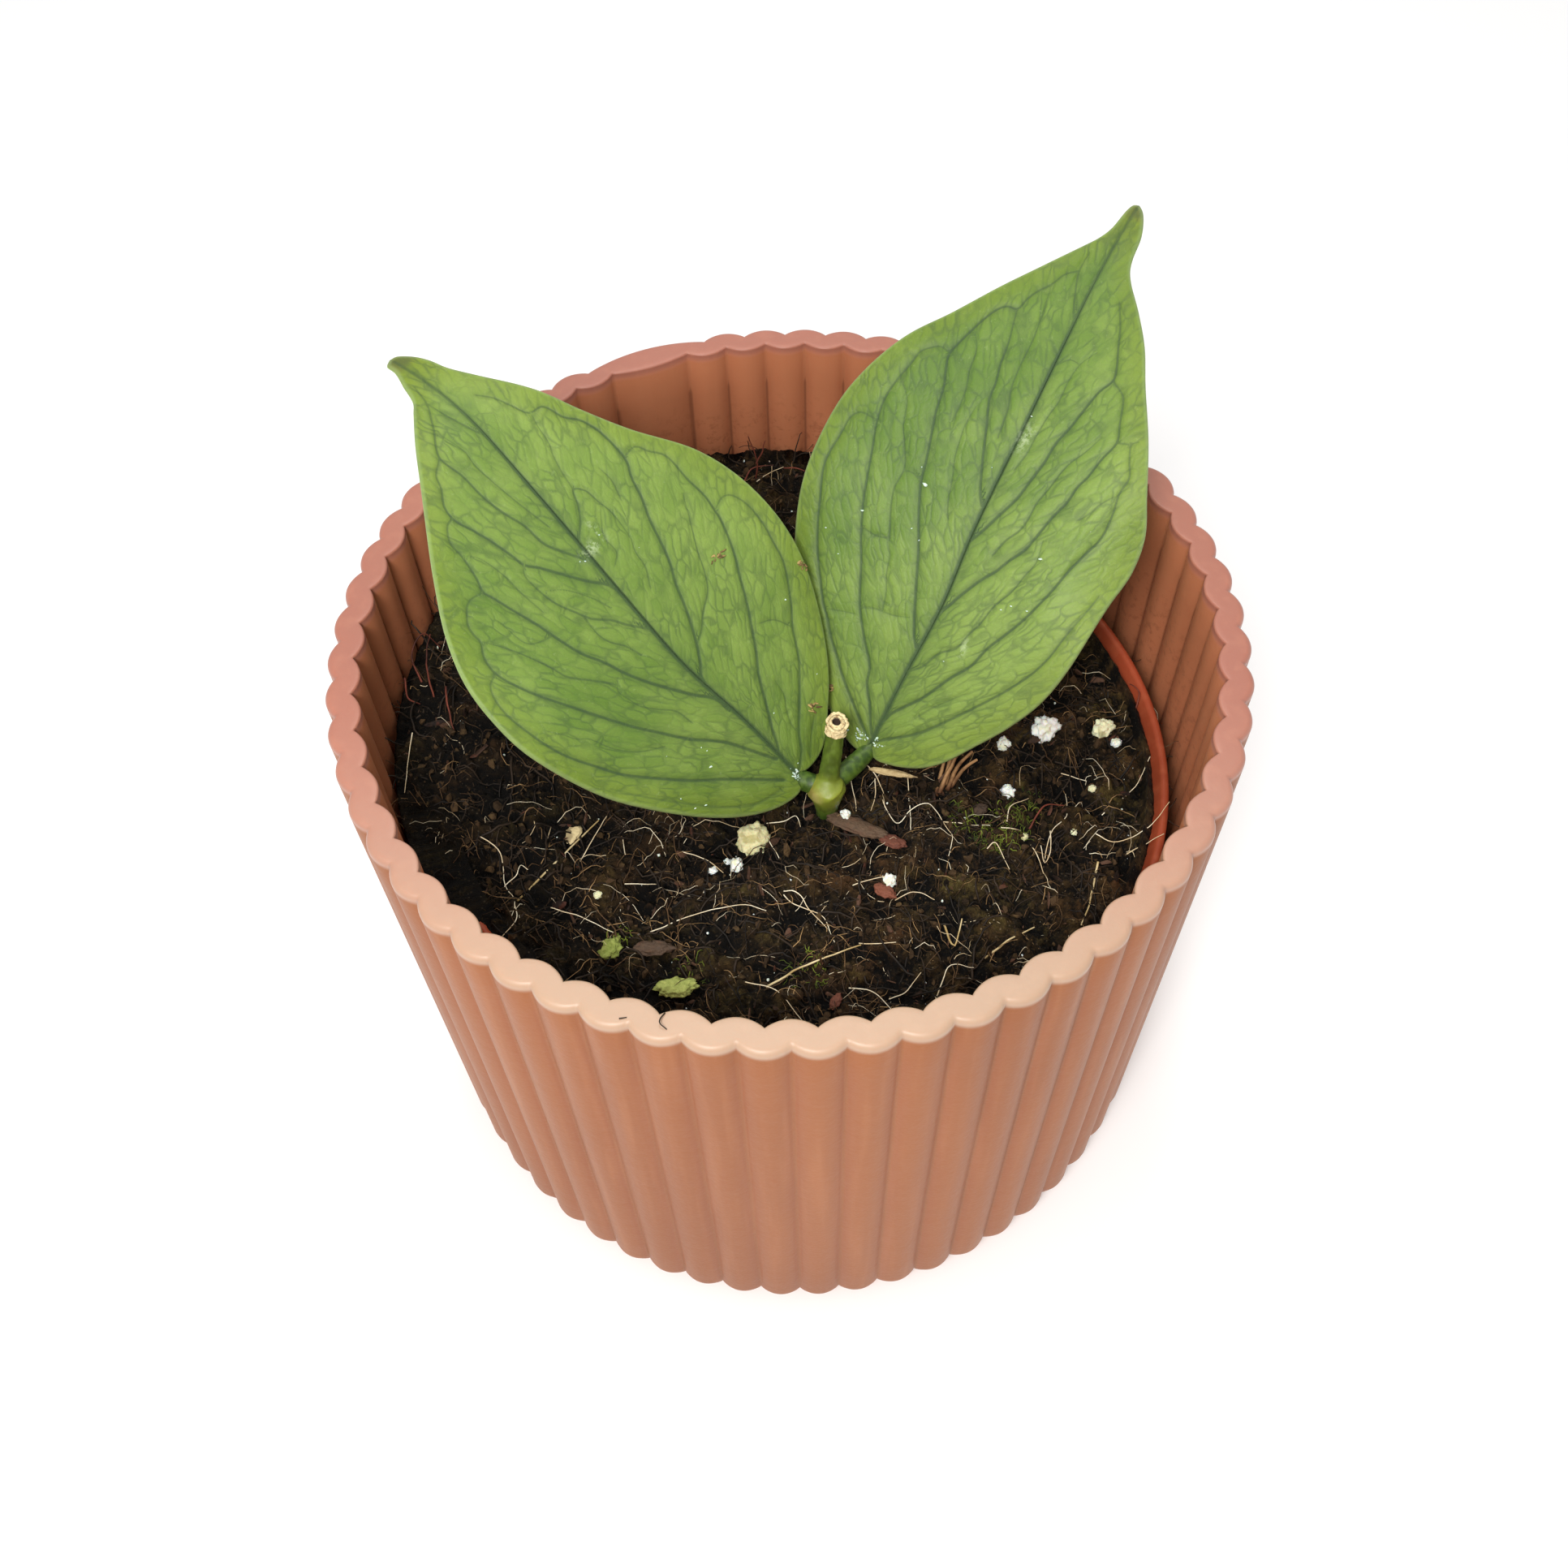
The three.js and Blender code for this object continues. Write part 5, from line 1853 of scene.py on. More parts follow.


# Veins, along and across by turns, in millimetres: strong side veins, then the thinner ones
LEFT_VEINS = (
    Vein((0.9, -2, 5, -6, 7.5, -8.5, 10, -11.2, 14.5, -15.2, 17.3, -17.4, 20, -18.9, 23, -20.5, 25.5, -21.4,
          28.1, -21.9, 31.5, -22.2, 34, -21.7, 35.1, -20.9, 35.4, -19.6), 0.42, 0.85),
    Vein((3.5, -1, 5, -1.9, 7.5, -3.3, 10, -4.8, 12, -6.5, 13.5, -7.9, 17.2, -10.5, 20, -12.4, 25, -15.2,
          30, -17.8, 31.8, -18.6, 35.2, -19.6, 36.8, -19.5, 38, -19, 39, -18.2, 40, -18.2, 41.2, -17.9,
          42, -17.2, 43, -15.8, 42.6, -13.9), 0.42, 0.85),
    Vein((12.5, -1.8, 14.5, -2.1, 17.2, -4.1, 20, -5.9, 22.5, -7.4, 25, -8.6, 27.5, -9.5, 30, -10.7,
          33, -11.5, 36, -12.1, 39, -12.9, 41.5, -13.5, 42.6, -13.8, 44, -13.2, 47, -12.4, 48.8, -12.2,
          50.5, -10.7, 50.5, -9.8), 0.42, 0.9),
    Vein((26, -2.3, 26.8, -2.9, 28.5, -4.2, 30, -5.1, 32, -6.9, 33.5, -7.6, 36.2, -8.7, 39, -9, 40.8, -8.8,
          41.5, -8), 0.34, 0.7),
    Vein((32.3, -2.1, 33.2, -2.4, 35, -3.8, 37.5, -5.4, 40, -6.9, 41.5, -8, 43, -8.2, 45.5, -8.6, 48, -9.2,
          50.2, -9.8, 52, -9.5, 53.8, -8, 55, -7.4, 56.2, -5.5), 0.38, 0.85),
    Vein((36, -1.6, 38.5, -3, 41.5, -4.4, 44.5, -4.5, 47, -5.1, 50, -5.4, 53, -5.2, 56.2, -5.4, 57.5, -4.5,
          58.8, -3.2, 60, -2.2, 61.5, -1, 64, 0), 0.34, 0.75),
    Vein((42.5, -2.5, 45, -2.8, 48, -3.1, 53, -3.2, 54.8, -2.8, 58.5, -3.2), 0.22, 0.5),
    Vein((55.5, 0.1, 56.5, -0.2, 59.5, -0.8, 61.5, -0.9), 0.26, 0.55),
    Vein((0.3, -3, 1.8, -7, 4.3, -10, 7.5, -12.8, 11, -15.5, 14, -17.6, 17, -19.5), 0.4, 0.4),
    Vein((15.5, -11.2, 17.5, -14, 20, -16, 22.8, -17.3, 24, -18.5, 25.8, -19.5, 26.8, -21.2), 0.2, 0.45),
    Vein((15, -6.5, 17.2, -7, 19, -8.5, 21, -10, 22.5, -10.4, 24, -10.7, 25, -9.7), 0.22, 0.5),
    Vein((25, -10.5, 27.2, -12.2, 29.5, -14, 31.3, -14.5, 35.2, -16, 36.8, -16.8, 39, -18.1), 0.26, 0.6),
    Vein((33.8, -11.6, 34.2, -13, 35.2, -14.5, 38.8, -15), 0.22, 0.45),
    Vein((25, -5.5, 27, -6.2, 28.5, -7.2, 30, -7.6, 32.5, -7.5), 0.24, 0.55),
    Vein((36.5, -10.5, 40, -10.7, 42, -10.6, 45.5, -11.2, 47, -12.3), 0.22, 0.45),
    Vein((31.2, -4.2, 33, -4.8, 36.2, -6.6, 37.8, -8.4), 0.2, 0.45),
    Vein((0.2, 0.6, 1.8, 2.4, 3.5, 3.5, 5, 4.9, 7, 6.8, 10, 9.5, 12, 10.7, 13.5, 11.6, 15, 12.9, 17.5, 14.6,
          20, 16, 22.5, 16.6, 25, 17.2, 27.8, 17.4, 30, 16.7, 30.6, 15.7, 30.2, 13.9), 0.4, 0.75),
    Vein((3.8, -0.4, 4.3, 0.1, 6.5, 1, 8.2, 1.9, 10, 2.8, 12.5, 4.1, 14.2, 5.4, 16, 6.6, 20, 9.1, 22.5, 10.4,
          25, 11.9, 28.8, 13.5, 30.2, 13.8, 32.2, 14.1, 35, 13.9, 38.8, 13.9, 40.5, 12.8, 42, 12,
          42, 10.3), 0.42, 0.85),
    Vein((16.5, -1.9, 17.8, -1.6, 19.2, -0.4, 21, 0.8, 25, 2.8, 27.5, 3.8, 30, 5.2, 35, 7, 37.5, 8.2, 39.8, 9,
          41.5, 10, 44, 10.3, 46.5, 10.2, 48.5, 9.6, 50, 8.5, 52.5, 7.7, 53, 6, 55, 5.2, 57, 4.5,
          58.5, 3.5), 0.4, 0.85),
    Vein((20.8, 0.8, 21.5, 2.2, 23, 4.2, 24.2, 6.2, 26, 7.5, 28.3, 8.6, 31.2, 10.4, 34.2, 12.2), 0.26, 0.6),
    Vein((38, -1.3, 39, -1, 40.5, 0.8, 42, 2, 43.5, 2.9, 42.5, 3.8, 40.5, 4, 38.8, 4.2, 36.8, 4,
          35.2, 3.7), 0.28, 0.65),
    Vein((43.5, 2.9, 45.5, 3.4, 47.8, 4.2, 49, 4.9, 51.5, 5.6, 53, 6.2), 0.22, 0.45),
    Vein((29.5, 1.2, 31.5, 2.5, 33.5, 2.9, 35.2, 3.8), 0.24, 0.5),
    Vein((34.2, 0, 35, 1.2, 37.2, 1.4, 38.8, 2.6, 40, 3.8), 0.22, 0.45),
    Vein((39, 6.2, 41.2, 7, 43.2, 7), 0.24, 0.45),
    Vein((13.5, 11.5, 15.8, 10.2, 17, 8.2), 0.24, 0.5),
    Vein((3.5, 3.5, 5, 3.4, 7, 4.2, 8.2, 5, 10.5, 5.3), 0.22, 0.45),
    Vein((0.2, 2.8, 2, 4.6, 3.5, 6.5), 0.36, 0.5),
)
RIGHT_VEINS = (
    Vein((0.8, -0.8, 3, -3.2, 5, -5.3, 6.5, -6.8, 8, -8, 10, -9.8, 12, -11.2, 14, -12.8, 16, -14, 18.5, -15.5,
          20, -16.2, 22.5, -17.2, 25, -18, 28.2, -19.1, 30, -19.3, 33, -19, 35.2, -18.8, 36.2, -18,
          36.2, -15.6), 0.42, 0.85),
    Vein((1.2, -0.3, 2.5, -1, 5, -2.2, 7, -3.4, 9, -3.9, 12, -6, 15, -7.9, 17.2, -8.9, 20, -10, 22.5, -11.2,
          25, -12.2, 27.5, -13.1, 30, -13.8, 32.5, -14.5, 36.2, -15.6, 39, -15.9, 41, -15.6, 44, -14.8,
          45.5, -14.5, 46.5, -13.5, 47.1, -12.5, 46.8, -11.2), 0.4, 0.85),
    Vein((13.8, 0.5, 15.2, -0.4, 17.5, -1.4, 20, -2.4, 25, -4.4, 27.5, -5.6, 30, -6.7, 31.8, -7.4, 34.5, -8,
          37.5, -8.8, 40, -9.5, 43, -10, 46.6, -11.2, 48.5, -10.7, 50.2, -10.1, 52, -9.4, 53.8, -8.4,
          54.5, -7.5, 54.6, -6.4, 56.2, -5.9, 57.5, -5.2, 58.8, -4.2, 60.5, -3.4, 61.5, -2.2), 0.4, 0.9),
    Vein((32.5, 0.5, 33.5, -0.2, 36.2, -1.4, 38.8, -2.4, 41.5, -3.4, 44, -4.4, 46, -4.6, 48, -5.1, 50.5, -5.4,
          53, -6, 54.6, -6.4), 0.36, 0.85),
    Vein((40.5, -1.4, 44, -1.9, 46, -2.6, 48.5, -2.9, 52, -3, 55, -3.4, 58.5, -4.1), 0.24, 0.55),
    Vein((56, 0.3, 56.8, -0.2, 59, -1.2, 61.5, -2.1, 64, -2.2), 0.28, 0.6),
    Vein((24.2, -8, 26, -8.8, 28, -9.6, 30, -10.1, 32.5, -10, 35, -11.2, 37, -12.4, 40, -13.4,
          41.8, -15.2), 0.26, 0.55),
    Vein((24, -11.6, 23.8, -9.8, 24.2, -8), 0.26, 0.5),
    Vein((15.2, -7.8, 15.8, -6, 16, -4, 16.6, -2), 0.3, 0.4),
    Vein((13, -11.8, 13.6, -10, 14.2, -7.6), 0.26, 0.35),
    Vein((16.2, -5.2, 18.5, -5.8, 20, -6.5, 22.5, -7.2, 24, -8), 0.24, 0.45),
    Vein((40, -7.2, 43.5, -7.4, 46, -8.1, 48.5, -8.5, 50.5, -9.8), 0.24, 0.5),
    Vein((29.5, -2.6, 31.2, -3.4, 34, -4.2, 36.2, -5, 38.5, -5.4, 40, -5.6, 43, -5.4), 0.24, 0.5),
    Vein((31.8, -7.4, 32.4, -8.6, 32.3, -10), 0.24, 0.45),
    Vein((0.8, 0.6, 2.2, 2.4, 3.5, 4.2, 5, 5.8, 7, 7.5, 10, 9.9, 13.5, 12.5, 15, 13.5, 17.2, 14.8, 20, 15.9,
          23.5, 16.6, 26.8, 17.4, 29, 17.8), 0.38, 0.75),
    Vein((3.5, 0.4, 4.8, 0.9, 6.5, 2.2, 8.5, 3.8, 10.2, 4.8, 12.5, 6.1, 15, 7.8, 17.5, 8.6, 20, 9.9,
          22.5, 11.1, 25, 12, 27.5, 12.8, 30, 13.4, 32.5, 14.2, 35, 15, 37.8, 15, 40.5, 14.6, 42.5, 14.8,
          44, 14, 46, 13.1), 0.4, 0.9),
    Vein((17.6, 0.9, 18.5, 1.2, 20, 2, 22.5, 3.2, 25, 4.6, 26.2, 5.5, 28, 6.4, 30, 7.6, 32.2, 8.2, 35, 8.9,
          37, 9.6, 39.2, 9.9, 40.5, 10.4, 43, 10.9, 45.5, 11.6, 47.5, 10.9, 49.5, 10.2, 50.5, 9.7,
          51.5, 8), 0.4, 0.9),
    Vein((27.6, 0.8, 28.4, 1.2, 30, 2, 32.5, 3, 35, 4, 37.5, 4.5, 40, 5, 42.5, 5.2, 45, 5.9, 47.5, 6.4, 50, 7,
          51.6, 7.8, 53, 7.5, 55, 6.6, 57.5, 5.5, 60, 4), 0.4, 0.9),
    Vein((28, 4.4, 30, 5, 31.8, 6, 33.2, 6.3, 35.5, 6.4, 37.5, 6.9, 40, 7.4, 41.2, 7.8, 43, 8.8,
          45, 9.6), 0.28, 0.65),
    Vein((38, 2.2, 40, 2.6, 43, 2.7, 45.2, 2.9, 47, 3.2, 49.5, 3.1, 51.8, 3.4, 53.8, 4.5), 0.24, 0.5),
    Vein((50.5, 0.8, 51.8, 2, 51.8, 3.4), 0.22, 0.45),
    Vein((10.6, 0.6, 12, 2.2, 14.5, 3.5, 16, 5.2, 18, 5.8, 20, 6.6, 22.5, 7.2, 25, 8.4, 27.5, 9, 29.2, 9.5,
          31.8, 9.1), 0.3, 0.65),
    Vein((5.8, 4, 8, 5.5, 10, 7.2, 11.5, 8.5), 0.28, 0.4),
    Vein((35.8, 11.8, 37, 12.6, 38.2, 13.1, 40, 14.3), 0.24, 0.5),
    Vein((45.5, 11.7, 45.9, 13, 46.5, 13.7), 0.28, 0.5),
)


def left_leaf() -> Leaf:
    """Set out the left leaf.

    Returns:
        The leaf, not built yet.
    """
    return Leaf(
        "leaf_left_blade", "leaf_left", base=(0.7, -10.1, 70.4), tip=(-44.2, 19.2, 111.4), roll=-8.0,
        midrib=(0, 0, 10, -1, 20, -2.3, 31, -2, 45, -0.7, 59.5, 1, 68.3, 1.6),
        right=(0, 0, -0.8, 1.8, -0.4, 5, 3, 9.1, 6.4, 12.2, 11.4, 15.5, 17, 18, 22.5, 19.3, 28, 19.6,
               32.3, 19, 36.8, 17.4, 43.6, 13.4, 49.3, 10.8, 54, 9, 60.1, 5.7, 63.1, 4.4, 64.9, 4.1,
               66.2, 3.7, 67.3, 3.1, 68.1, 2.4, 68.3, 1.6),
        left=(0, 0, -1.9, -0.8, -1.5, -3.7, 1.1, -8.2, 5.2, -12.6, 10.8, -17, 17.2, -20.8, 26.7, -23.8,
              32.5, -23.8, 37.4, -22.8, 42.2, -20.5, 47, -16.9, 52.8, -11.8, 58.8, -6.2, 61.8, -2.8,
              62.7, -1.7, 64.8, -0.6, 65.8, 0, 66.8, 0.5, 67.9, 0.7, 68.3, 1.6),
        veins=LEFT_VEINS, scuffs=((37.4, -0.6, 0.7, 1.6), (38.6, 1.2, 1.2, 0.4)), bloom=(0.11, 0.003, 0.015),
    )


def right_leaf() -> Leaf:
    """Set out the right leaf.

    Returns:
        The leaf, not built yet.
    """
    return Leaf(
        "leaf_right_blade", "leaf_right", base=(10.2, -5.0, 69.3), tip=(41.6, 38.2, 116.3), roll=5.0,
        recurve=3.0, curl_at=34.0, curl_across=13.0, curl_drop=0.35, curl_length=8.0,
        midrib=(0, 0, 10, 0.6, 20, 1.3, 29, 0.9, 43.3, 0.8, 58, 0.3, 71.9, -0.5),
        right=(0, 0, -1.4, 1, -1.2, 3.3, 0.3, 7, 2.4, 9.5, 6, 12.2, 10.2, 15.1, 14.8, 17.4, 19.7, 18.6,
               28.5, 19.3, 33, 19.8, 37.4, 19.3, 41.3, 17.6, 47, 14.8, 52.6, 11.4, 56.6, 9.1, 60, 6.4,
               62.6, 4, 63.9, 3.1, 65.3, 2.6, 68.2, 2, 70.5, 0.9, 71.4, 0.2, 71.9, -0.5),
        left=(0, 0, -1.4, -1, -0.8, -3.4, 3.4, -8.6, 10.4, -14.8, 15.7, -17.8, 22.2, -20.2, 28, -21.3,
              35.8, -21.2, 40.4, -20, 46.6, -17, 51.3, -13.3, 56, -9.8, 60.1, -6.6, 64.5, -3.4, 66.2, -2.3,
              67.8, -1.7, 70.9, -1.4, 71.7, -1.1, 71.9, -0.5),
        veins=RIGHT_VEINS, scuffs=((41.6, 1.6, 1.6, 0.8), (16.2, 6.0, 1.4, 0.4)), bloom=(0.6, -0.015, 0.027),
    )


# What lies on the blades: white specks that stand in for glints, which are painted glints, and dry bits,
# [along, across, size], and wax crumbs, [along, across, spread, count]
LEFT_GLINT_SPECKS = (
    (9.5, -8.4, 0.7), (11.2, -7.4, 0.4), (12, -7.7, 0.4), (6.8, -12.1, 0.5), (7.6, -13.4, 0.5),
    (9.8, -14, 0.4), (14.6, -11.8, 0.3), (25.5, -18.1, 0.3), (7.8, 2.5, 0.4), (0.9, 0.9, 0.3),
    (16.5, 13, 0.5), (7, 10.1, 0.4), (37.9, 1.1, 0.4), (43.1, 12, 0.4), (33.6, 3.6, 0.3), (36.9, -2.4, 0.4),
    (37.3, -2.9, 0.3),
)
LEFT_BITS = ((4.3, 6.8, 1.7), (26.2, 9.9, 1.7), (17.8, 17.4, 1.6))
LEFT_CRUMBS = ((0.2, -0.2, 0.5, 26),)
RIGHT_GLINT_SPECKS = (
    (22, -15.8, 0.5), (19.8, -13.1, 0.3), (25.8, -12.5, 0.6), (26.5, -6, 0.4), (25.6, -4.6, 0.3),
    (31.8, -6.8, 1), (33.5, -8.1, 0.3), (37, -0.4, 0.3), (13.9, 4.4, 0.4), (22.6, 8.2, 0.5), (23.5, 9.1, 0.5),
    (23.8, 11.1, 0.4), (25.8, 10.6, 0.3), (19.9, 12, 0.3), (29.9, 9.8, 0.7), (44.2, 1.1, 0.4),
    (35.2, 13.6, 0.3),
)
RIGHT_BITS = ((4.0, -7.3, 1.6), (16.0, -16.9, 0.5))
RIGHT_CRUMBS = ((0.2, -1.6, 0.6, 22), (0.5, 0.8, 0.4, 10))


@dataclass
class LeafDust:
    """White specks that stand in for glints, wax crumbs and dry bits that lie on a blade."""

    leaf: Leaf
    name: str
    specks: tuple
    bits: tuple
    crumbs: tuple
    seed: int
    any_turn: float = 6.3
    threads_per_bit: int = 9

    def build(self) -> None:
        """Lay the glint specks, the crumbs and the bits on the blade."""
        self.draws = np.random.default_rng(self.seed)
        self.lay_wax()
        self.lay_bits()

    def spin(self) -> Matrix:
        """Return a random turn about the upright."""
        return Matrix.Rotation(self.draws.uniform(0, self.any_turn), 3, "Z")

    def lay_wax(self) -> None:
        """Lay the white glint specks one by one, and the wax crumbs near the petiole at random."""
        draws, heap = self.draws, Heap()
        # Painted glints: small white specks laid where the blade glints.
        for k, (u, w, size) in enumerate(self.specks):
            place = self.leaf.on_blade(u, w, size * 0.1)
            heap.add(place, (size * 0.36, size * 0.2, size * 0.14), self.spin(), 2, 0.6, k * 1.7, 0.9)
        for u, w, spread, count in self.crumbs:
            for k in range(count):
                du, dw = draws.normal(0, spread, 2)
                size = draws.uniform(0.1, 0.34)
                place = self.leaf.on_blade(max(u + du, -0.6), w + dw, size * 0.15)
                turn = self.spin() @ Matrix.Rotation(draws.uniform(0, self.any_turn), 3, "Y")
                shape = size * draws.uniform(0.12, 0.9, 3)
                heap.add(place, shape, turn, 1, 0.9, k * 0.9, draws.uniform(0.2, 1.0))
        heap.finish(self.name + "_wax", WAX, "leaf")

    def lay_bits(self) -> None:
        """Lay the dry bits, each a small bundle of threads."""
        draws, heap = self.draws, Heap()
        for u, w, size in self.bits:
            for k in range(self.threads_per_bit):
                off = draws.normal(0, size * 0.22, 2)
                place = self.leaf.on_blade(u + off[0], w + off[1], 0.12)
                turn = self.spin() @ Matrix.Rotation(draws.uniform(-0.5, 0.5), 3, "X")
                shape = (size * draws.uniform(0.12, 0.34), size * draws.uniform(0.04, 0.1), size * 0.07)
                heap.add(place, shape, turn, 2, 0.7, k * 2.1 + u, draws.uniform(0.0, 1.0))
        heap.finish(self.name + "_bits", DRY_BIT, "leaf")


# Stem

@dataclass
class Stem:
    """The cut stub over its swollen joint, the buried stem and the roots."""

    joint: Point = (4.5, -11.0, 68.2)
    cut: Point = (5.8, -7.5, 77.4)
    joint_size: Point = (2.4, 2.2, 2.2)
    stub_radius: float = 1.1
    stub_swell: float = 0.3
    buried_depth: float = 22.0
    buried_radius: float = 1.3
    buried_swell: float = 0.8
    cut_tilt: float = 0.5
    root_count: int = 5
    root_drop: float = 17.0
    root_reach: float = 14.0
    root_radius: float = 0.55
    root_start: float = 16.0
    root_steps: int = 18
    root_sides: int = 10
    sides: int = 36
    buried_steps: int = 20
    stub_steps: int = 44
    collar_height: float = 0.9
    cut_sides: int = 48
    cut_rows: int = 60
    cut_section: tuple = (
        (-1.6, 1.13), (-1.5, 1.34), (-1.1, 1.26), (-0.6, 1.1), (-0.3, 1.2), (-0.02, 1.4), (0.1, 1.3),
        (0.06, 1.12), (-0.08, 0.98), (-0.02, 0.8), (0.14, 0.68), (0.1, 0.56), (-0.2, 0.46), (-0.7, 0.4),
        (-0.8, 0),
    )

    def outline(self) -> tuple[Array, Array, Array]:
        """Draw the buried stem, the joint and the stub in one line.

        Returns:
            The middle line, the radius at each place, and how much each belongs to the joint.
        """
        joint, cut = np.array(self.joint), np.array(self.cut)
        foot = joint - (0, 0, self.buried_depth)
        way = (cut - joint) / np.linalg.norm(cut - joint)
        below = [foot + (joint - foot) * k / self.buried_steps for k in range(self.buried_steps)]
        above = [joint + (cut - joint - way * self.collar_height) * k / self.stub_steps
                 for k in range(self.stub_steps + 1)]
        off = np.concatenate([-np.linalg.norm(np.array(below) - joint, axis=1),
                              np.linalg.norm(np.array(above) - joint, axis=1)])
        buried = self.buried_radius + self.buried_swell * smoothstep(off, -4.4, 0.0)
        stub = self.stub_radius + self.stub_swell * (1 - np.clip(off / 9.0, 0, 1)) ** 1.4
        bulge = self.joint_size[0] * np.sqrt(np.clip(1 - (off / self.joint_size[2]) ** 2, 0, 1))
        radius = np.maximum(np.where(off < 0, buried, stub), bulge)
        smooth = np.convolve(np.pad(radius, 2, mode="edge"), np.array([1, 2, 3, 2, 1]) / 9, mode="valid")
        tone = np.exp(-(np.minimum(off - 0.4, 3.0) / 2.4) ** 2) * (off > -9)
        return np.array(below + above), smooth, tone

    def build(self) -> None:
        """Build the stem with its roots, then its dry cut."""
        line, radius, tone = self.outline()
        bm = tube(line, radius, self.sides)
        joint = Vector(self.joint)
        tones, scars, reds = [], [], []
        for vertex in bm.verts:
            off = vertex.co - joint
            level = int(np.argmin(np.linalg.norm(line - np.array(vertex.co), axis=1)))
            key = vertex.co * 1.3
            push = 0.05 * noise.noise(key) + 0.03 * noise.noise(key * 3.1)
            ridge = 0.3 * math.exp(-((off.z - 0.9 - 0.35 * off.x) / 0.28) ** 2) if off.y < 0.6 else 0.0
            out = vertex.co - Vector(line[level])
            vertex.co += out.normalized() * (push + ridge) if out.length > 0.3 else Vector()
            tones.append(float(tone[level]) * 0.8 + ridge * 0.6)
            scars.append(math.exp(-((off.x + 1.3) ** 2 + (off.y + 1.4) ** 2 + (off.z - 0.5) ** 2) / 1.3))
            reds.append(math.exp(-((off.x + 2.2) ** 2 + (off.z - 0.8) ** 2) / 1.2))
        for name, values in (("node_tone", tones), ("scar", scars), ("red_share", reds)):
            set_values(bm, name, np.array(values))
        close_up(bm)
        for number in range(self.root_count):
            join(bm, self.root(number))
        stem = to_piece(bm, "stem_and_roots")
        seat(stem, "stem", StemSkin().build())
        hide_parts("stem")
        self.build_cut()

    def root(self, number: int) -> Mesh:
        """Grow one buried root.

        Args:
            number: Which of the roots it is.

        Returns:
            Its mesh.
        """
        turn = math.radians(self.root_start) + FULL_TURN * number / self.root_count
        foot = Vector(self.joint) - UP * self.buried_depth
        path = []
        for out, down in ((0, -0.1), (0.3, 0.2), (0.75, 0.5), (1, 1)):
            reach = out * self.root_reach
            x, y = reach * math.cos(turn), reach * math.sin(turn)
            path.append(foot + Vector((x, y, -down * self.root_drop)))
        line = smooth_curve([tuple(spot) for spot in path], self.root_steps)
        bm = tube(line, self.root_radius * np.linspace(1, 0.6, self.root_steps), self.root_sides)
        for name, value in (("node_tone", 0.0), ("scar", 0.6), ("red_share", 0.6)):
            set_values(bm, name, np.full(len(bm.verts), value))
        close_up(bm)
        return bm

    def build_cut(self) -> None:
        """Build the corky collar, the ring and the hollow of the cut."""
        joint, cut = Vector(self.joint), Vector(self.cut)
        way = (cut - joint).normalized()
        side = way.orthogonal().normalized()
        other = way.cross(side)
        hollow = side * 0.1 + other * 0.22
        count, last = self.cut_sides, self.cut_rows - 1
        steps = np.linspace(0, len(self.cut_section) - 1, self.cut_rows)
        known = range(len(self.cut_section))
        levels, radii = (np.interp(steps, known, column) for column in zip(*self.cut_section))
        shades = []

        def place(p: Array, q: Array) -> Array:
            """Find the places of the cut.

            Args:
                p: How far round each is, from 0 to 1.
                q: How far along the section, from 0 to 1.

            Returns:
                The places.
            """
            spots = []
            for around, share in zip(p.tolist(), q.tolist()):
                row = round(share * last)
                turn = FULL_TURN * (round(around * count) % count) / count
                radius, level = float(radii[row]), float(levels[row])
                out = side * math.cos(turn) + other * math.sin(turn)
                key = out * 1.6 + way * level * 1.5
                ragged = noise.noise(key * 2.0) + 0.6 * noise.noise(key * 5.0)
                low = 1.0 if share < 0.25 else 0.2
                facing = -self.cut_tilt * radius * out.y * float(smoothstep(share, 0.2, 0.36))
                middle = cut + hollow * float(smoothstep(share, 0.45, 0.9))
                spot = middle + out * radius * (1 + 0.13 * ragged * (1 if radius > 0.1 else 0))
                spots.append(spot + way * (level - facing + low * 0.3 * ragged))
                # Painted shade: the hollow and the ring groove of the cut are darkened.
                dark = smoothstep(share, 0.77, 0.84) + 0.75 * math.exp(-((share - 0.57) / 0.025) ** 2)
                shades.append(float(min(1.0, dark)))
            return np.array([tuple(spot) for spot in spots])

        bm = mapped_grid(count, last, place)
        set_values(bm, "shade", np.array(shades))
        close_up(bm)
        seat(to_piece(bm, "stem_cut"), "stem", DryCut().build())


# Studio

@dataclass(frozen=True)
class Light:
    """A soft round light: where it hangs, what it points at and its width, in millimetres."""

    name: str
    place: Point
    aim: Point
    size: float
    watts: float
    tint: Colour

    def hang(self) -> None:
        """Hang the light."""
        data = bpy.data.lights.new(self.name, "AREA")
        data.shape = "DISK"
        data.size = self.size * MM
        data.energy = self.watts
        data.color = self.tint
        lamp = bpy.data.objects.new(self.name, data)
        bpy.context.scene.collection.objects.link(lamp)
        lamp.location = Vector(self.place) * MM
        lamp.rotation_euler = (Vector(self.aim) - Vector(self.place)).to_track_quat("-Z", "Y").to_euler()


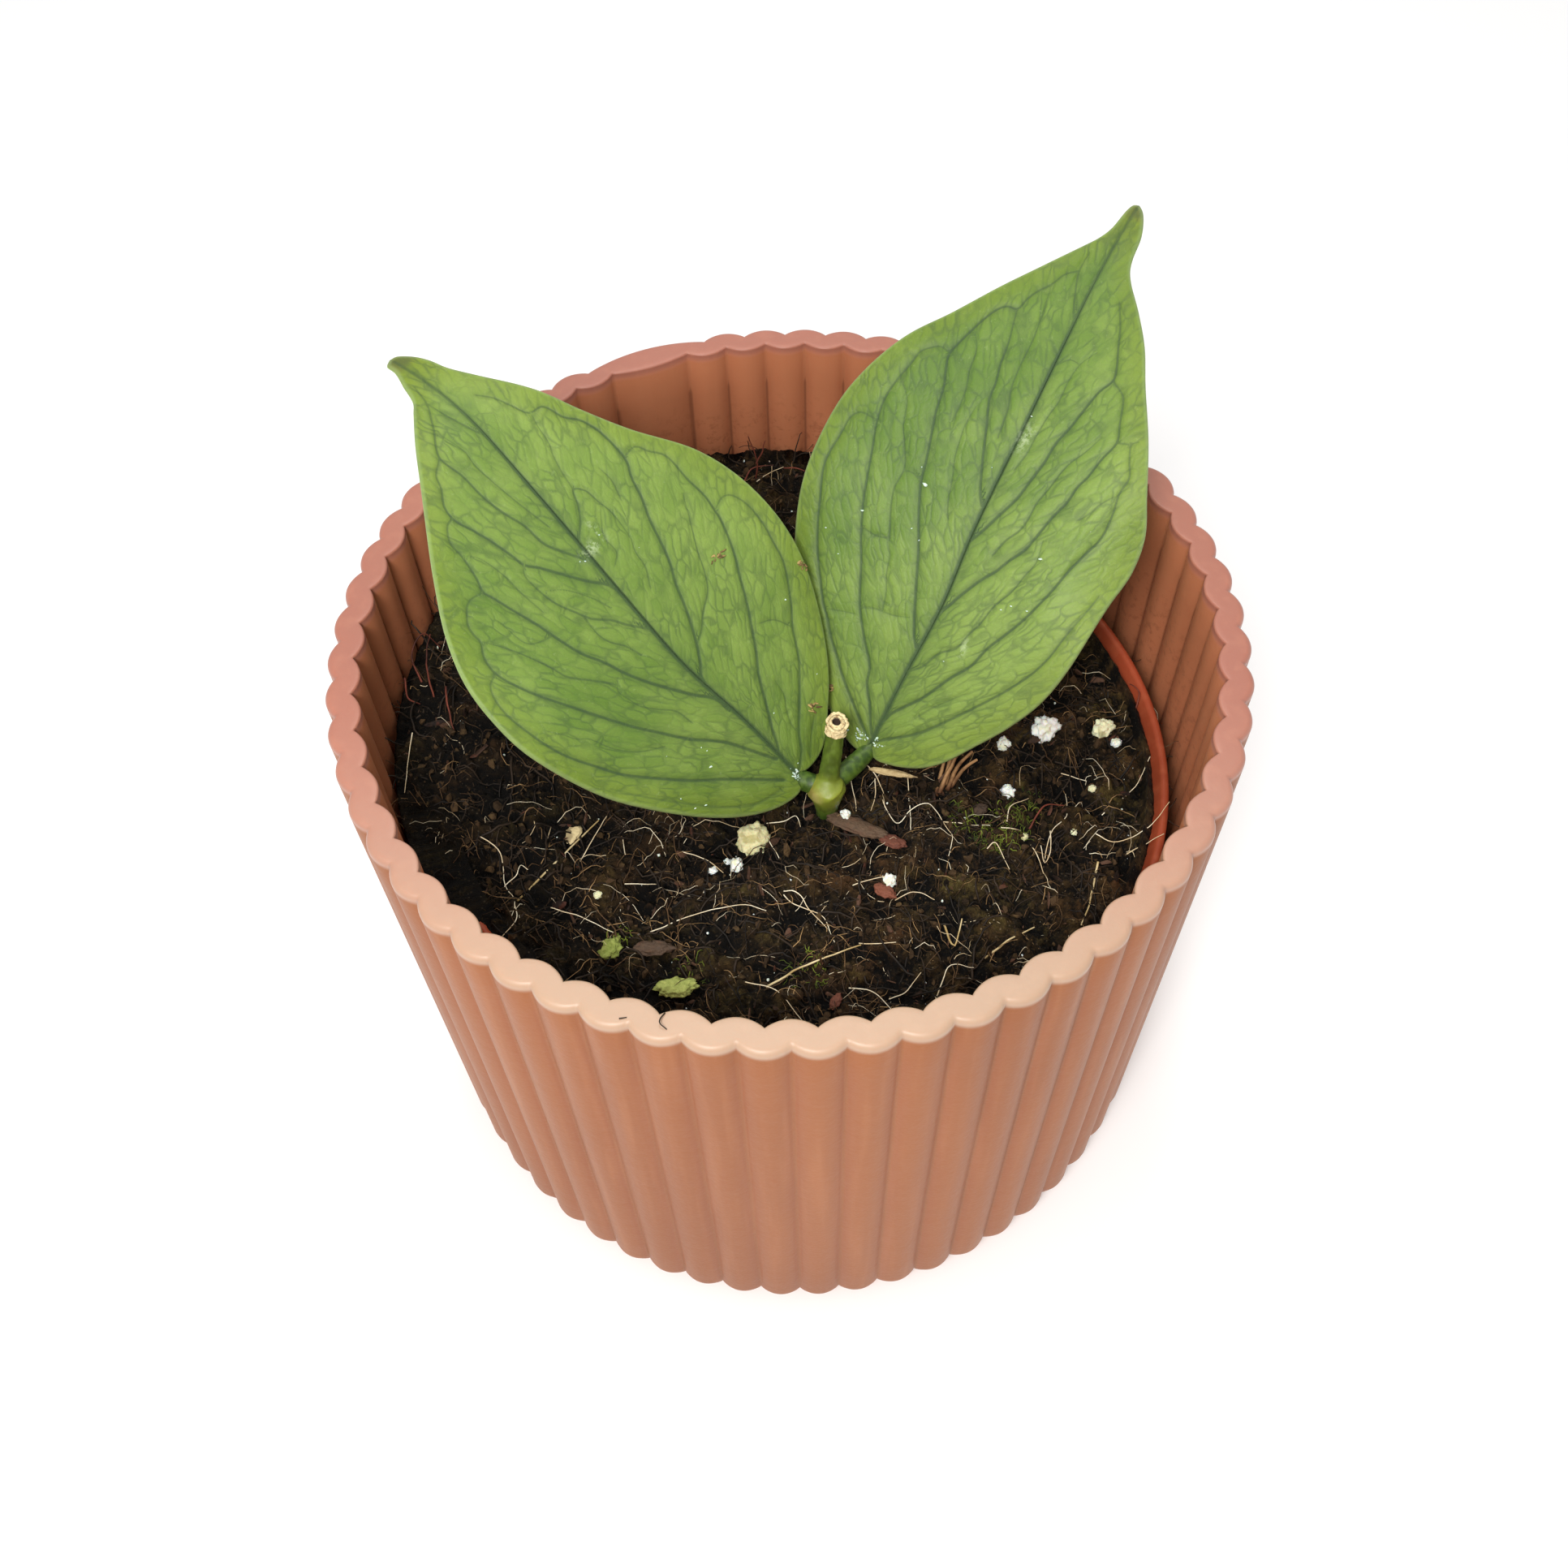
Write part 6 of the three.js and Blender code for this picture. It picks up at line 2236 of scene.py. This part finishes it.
@dataclass
class Studio:
    """The floor, the lights and the camera."""

    camera_place: Point = (1.604, -123.892, 234.006)
    camera_turn: Point = (34.4623, 1.0672, -0.3341)
    lens: float = 36.98
    sensor: float = 36.0
    nearest: float = 0.01
    furthest: float = 20.0
    floor_half: float = 2500.0
    room_light: float = 0.71
    lights: tuple = (
        Light("key_light", (-120.0, -390.0, 600.0), (0, 0, 60), 160.0, 2.2, (1.0, 0.97, 0.94)),
        Light("near_light", (-50.0, -175.0, 260.0), (0, -50, 85), 80.0, 0.26, (1.0, 0.97, 0.94)),
        Light("back_light", (-20.0, 205.0, 640.0), (0, -50, 80), 190.0, 1.0, (1.0, 0.98, 0.95)),
    )

    def floor(self) -> None:
        """Lay a plain pale floor."""
        bm = bmesh.new()
        bmesh.ops.create_grid(bm, x_segments=4, y_segments=4, size=self.floor_half)
        floor = to_piece(bm, "studio_floor")
        floor.data.materials.append(Paper().build())

    def world(self) -> None:
        """Fill the room with even light."""
        world = bpy.data.worlds.new("studio_room")
        world.use_nodes = True
        back = world.node_tree.nodes["Background"]
        back.inputs["Color"].default_value = (1.0, 1.0, 1.0, 1.0)
        back.inputs["Strength"].default_value = self.room_light
        bpy.context.scene.world = world
        bpy.context.scene.view_settings.view_transform = "Standard"

    def camera(self) -> None:
        """Set the camera at the photograph's place."""
        data = bpy.data.cameras.new("studio_camera")
        data.lens = self.lens
        data.sensor_width = self.sensor
        data.clip_start = self.nearest
        data.clip_end = self.furthest
        camera = bpy.data.objects.new("studio_camera", data)
        bpy.context.scene.collection.objects.link(camera)
        camera.location = Vector(self.camera_place) * MM
        camera.rotation_euler = [math.radians(turn) for turn in self.camera_turn]
        bpy.context.scene.camera = camera

    def build(self) -> None:
        """Set up the studio."""
        self.floor()
        self.world()
        self.camera()
        for light in self.lights:
            light.hang()


def main() -> None:
    """Build the plant and its studio."""
    logging.basicConfig(level=logging.INFO, format="%(message)s")
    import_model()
    Studio().build()
    log.info("studio: floor, lights and camera")
    cover = CoverPot()
    cover.build()
    log.info("cover pot: %d flutes", cover.flutes)
    pot = NurseryPot()
    pot.build()
    log.info("nursery pot: rim radius %.1f mm", pot.rim_radius)
    form = SoilForm(pot)
    surface = Soil(form).build()
    log.info("soil: body and surface")
    Litter(surface, form).build()
    log.info("litter: grains, chips, fibres and moss")
    Stem().build()
    log.info("stem: joint, stub and cut")
    left, right = left_leaf(), right_leaf()
    left.build()
    right.build()
    log.info("leaves: %.0f and %.0f mm long", left.length, right.length)
    LeafDust(left, "left_leaf", LEFT_GLINT_SPECKS, LEFT_BITS, LEFT_CRUMBS, seed=3).build()
    LeafDust(right, "right_leaf", RIGHT_GLINT_SPECKS, RIGHT_BITS, RIGHT_CRUMBS, seed=4).build()
    log.info("dust: specks on both leaves")


if __name__ == "__main__":
    main()
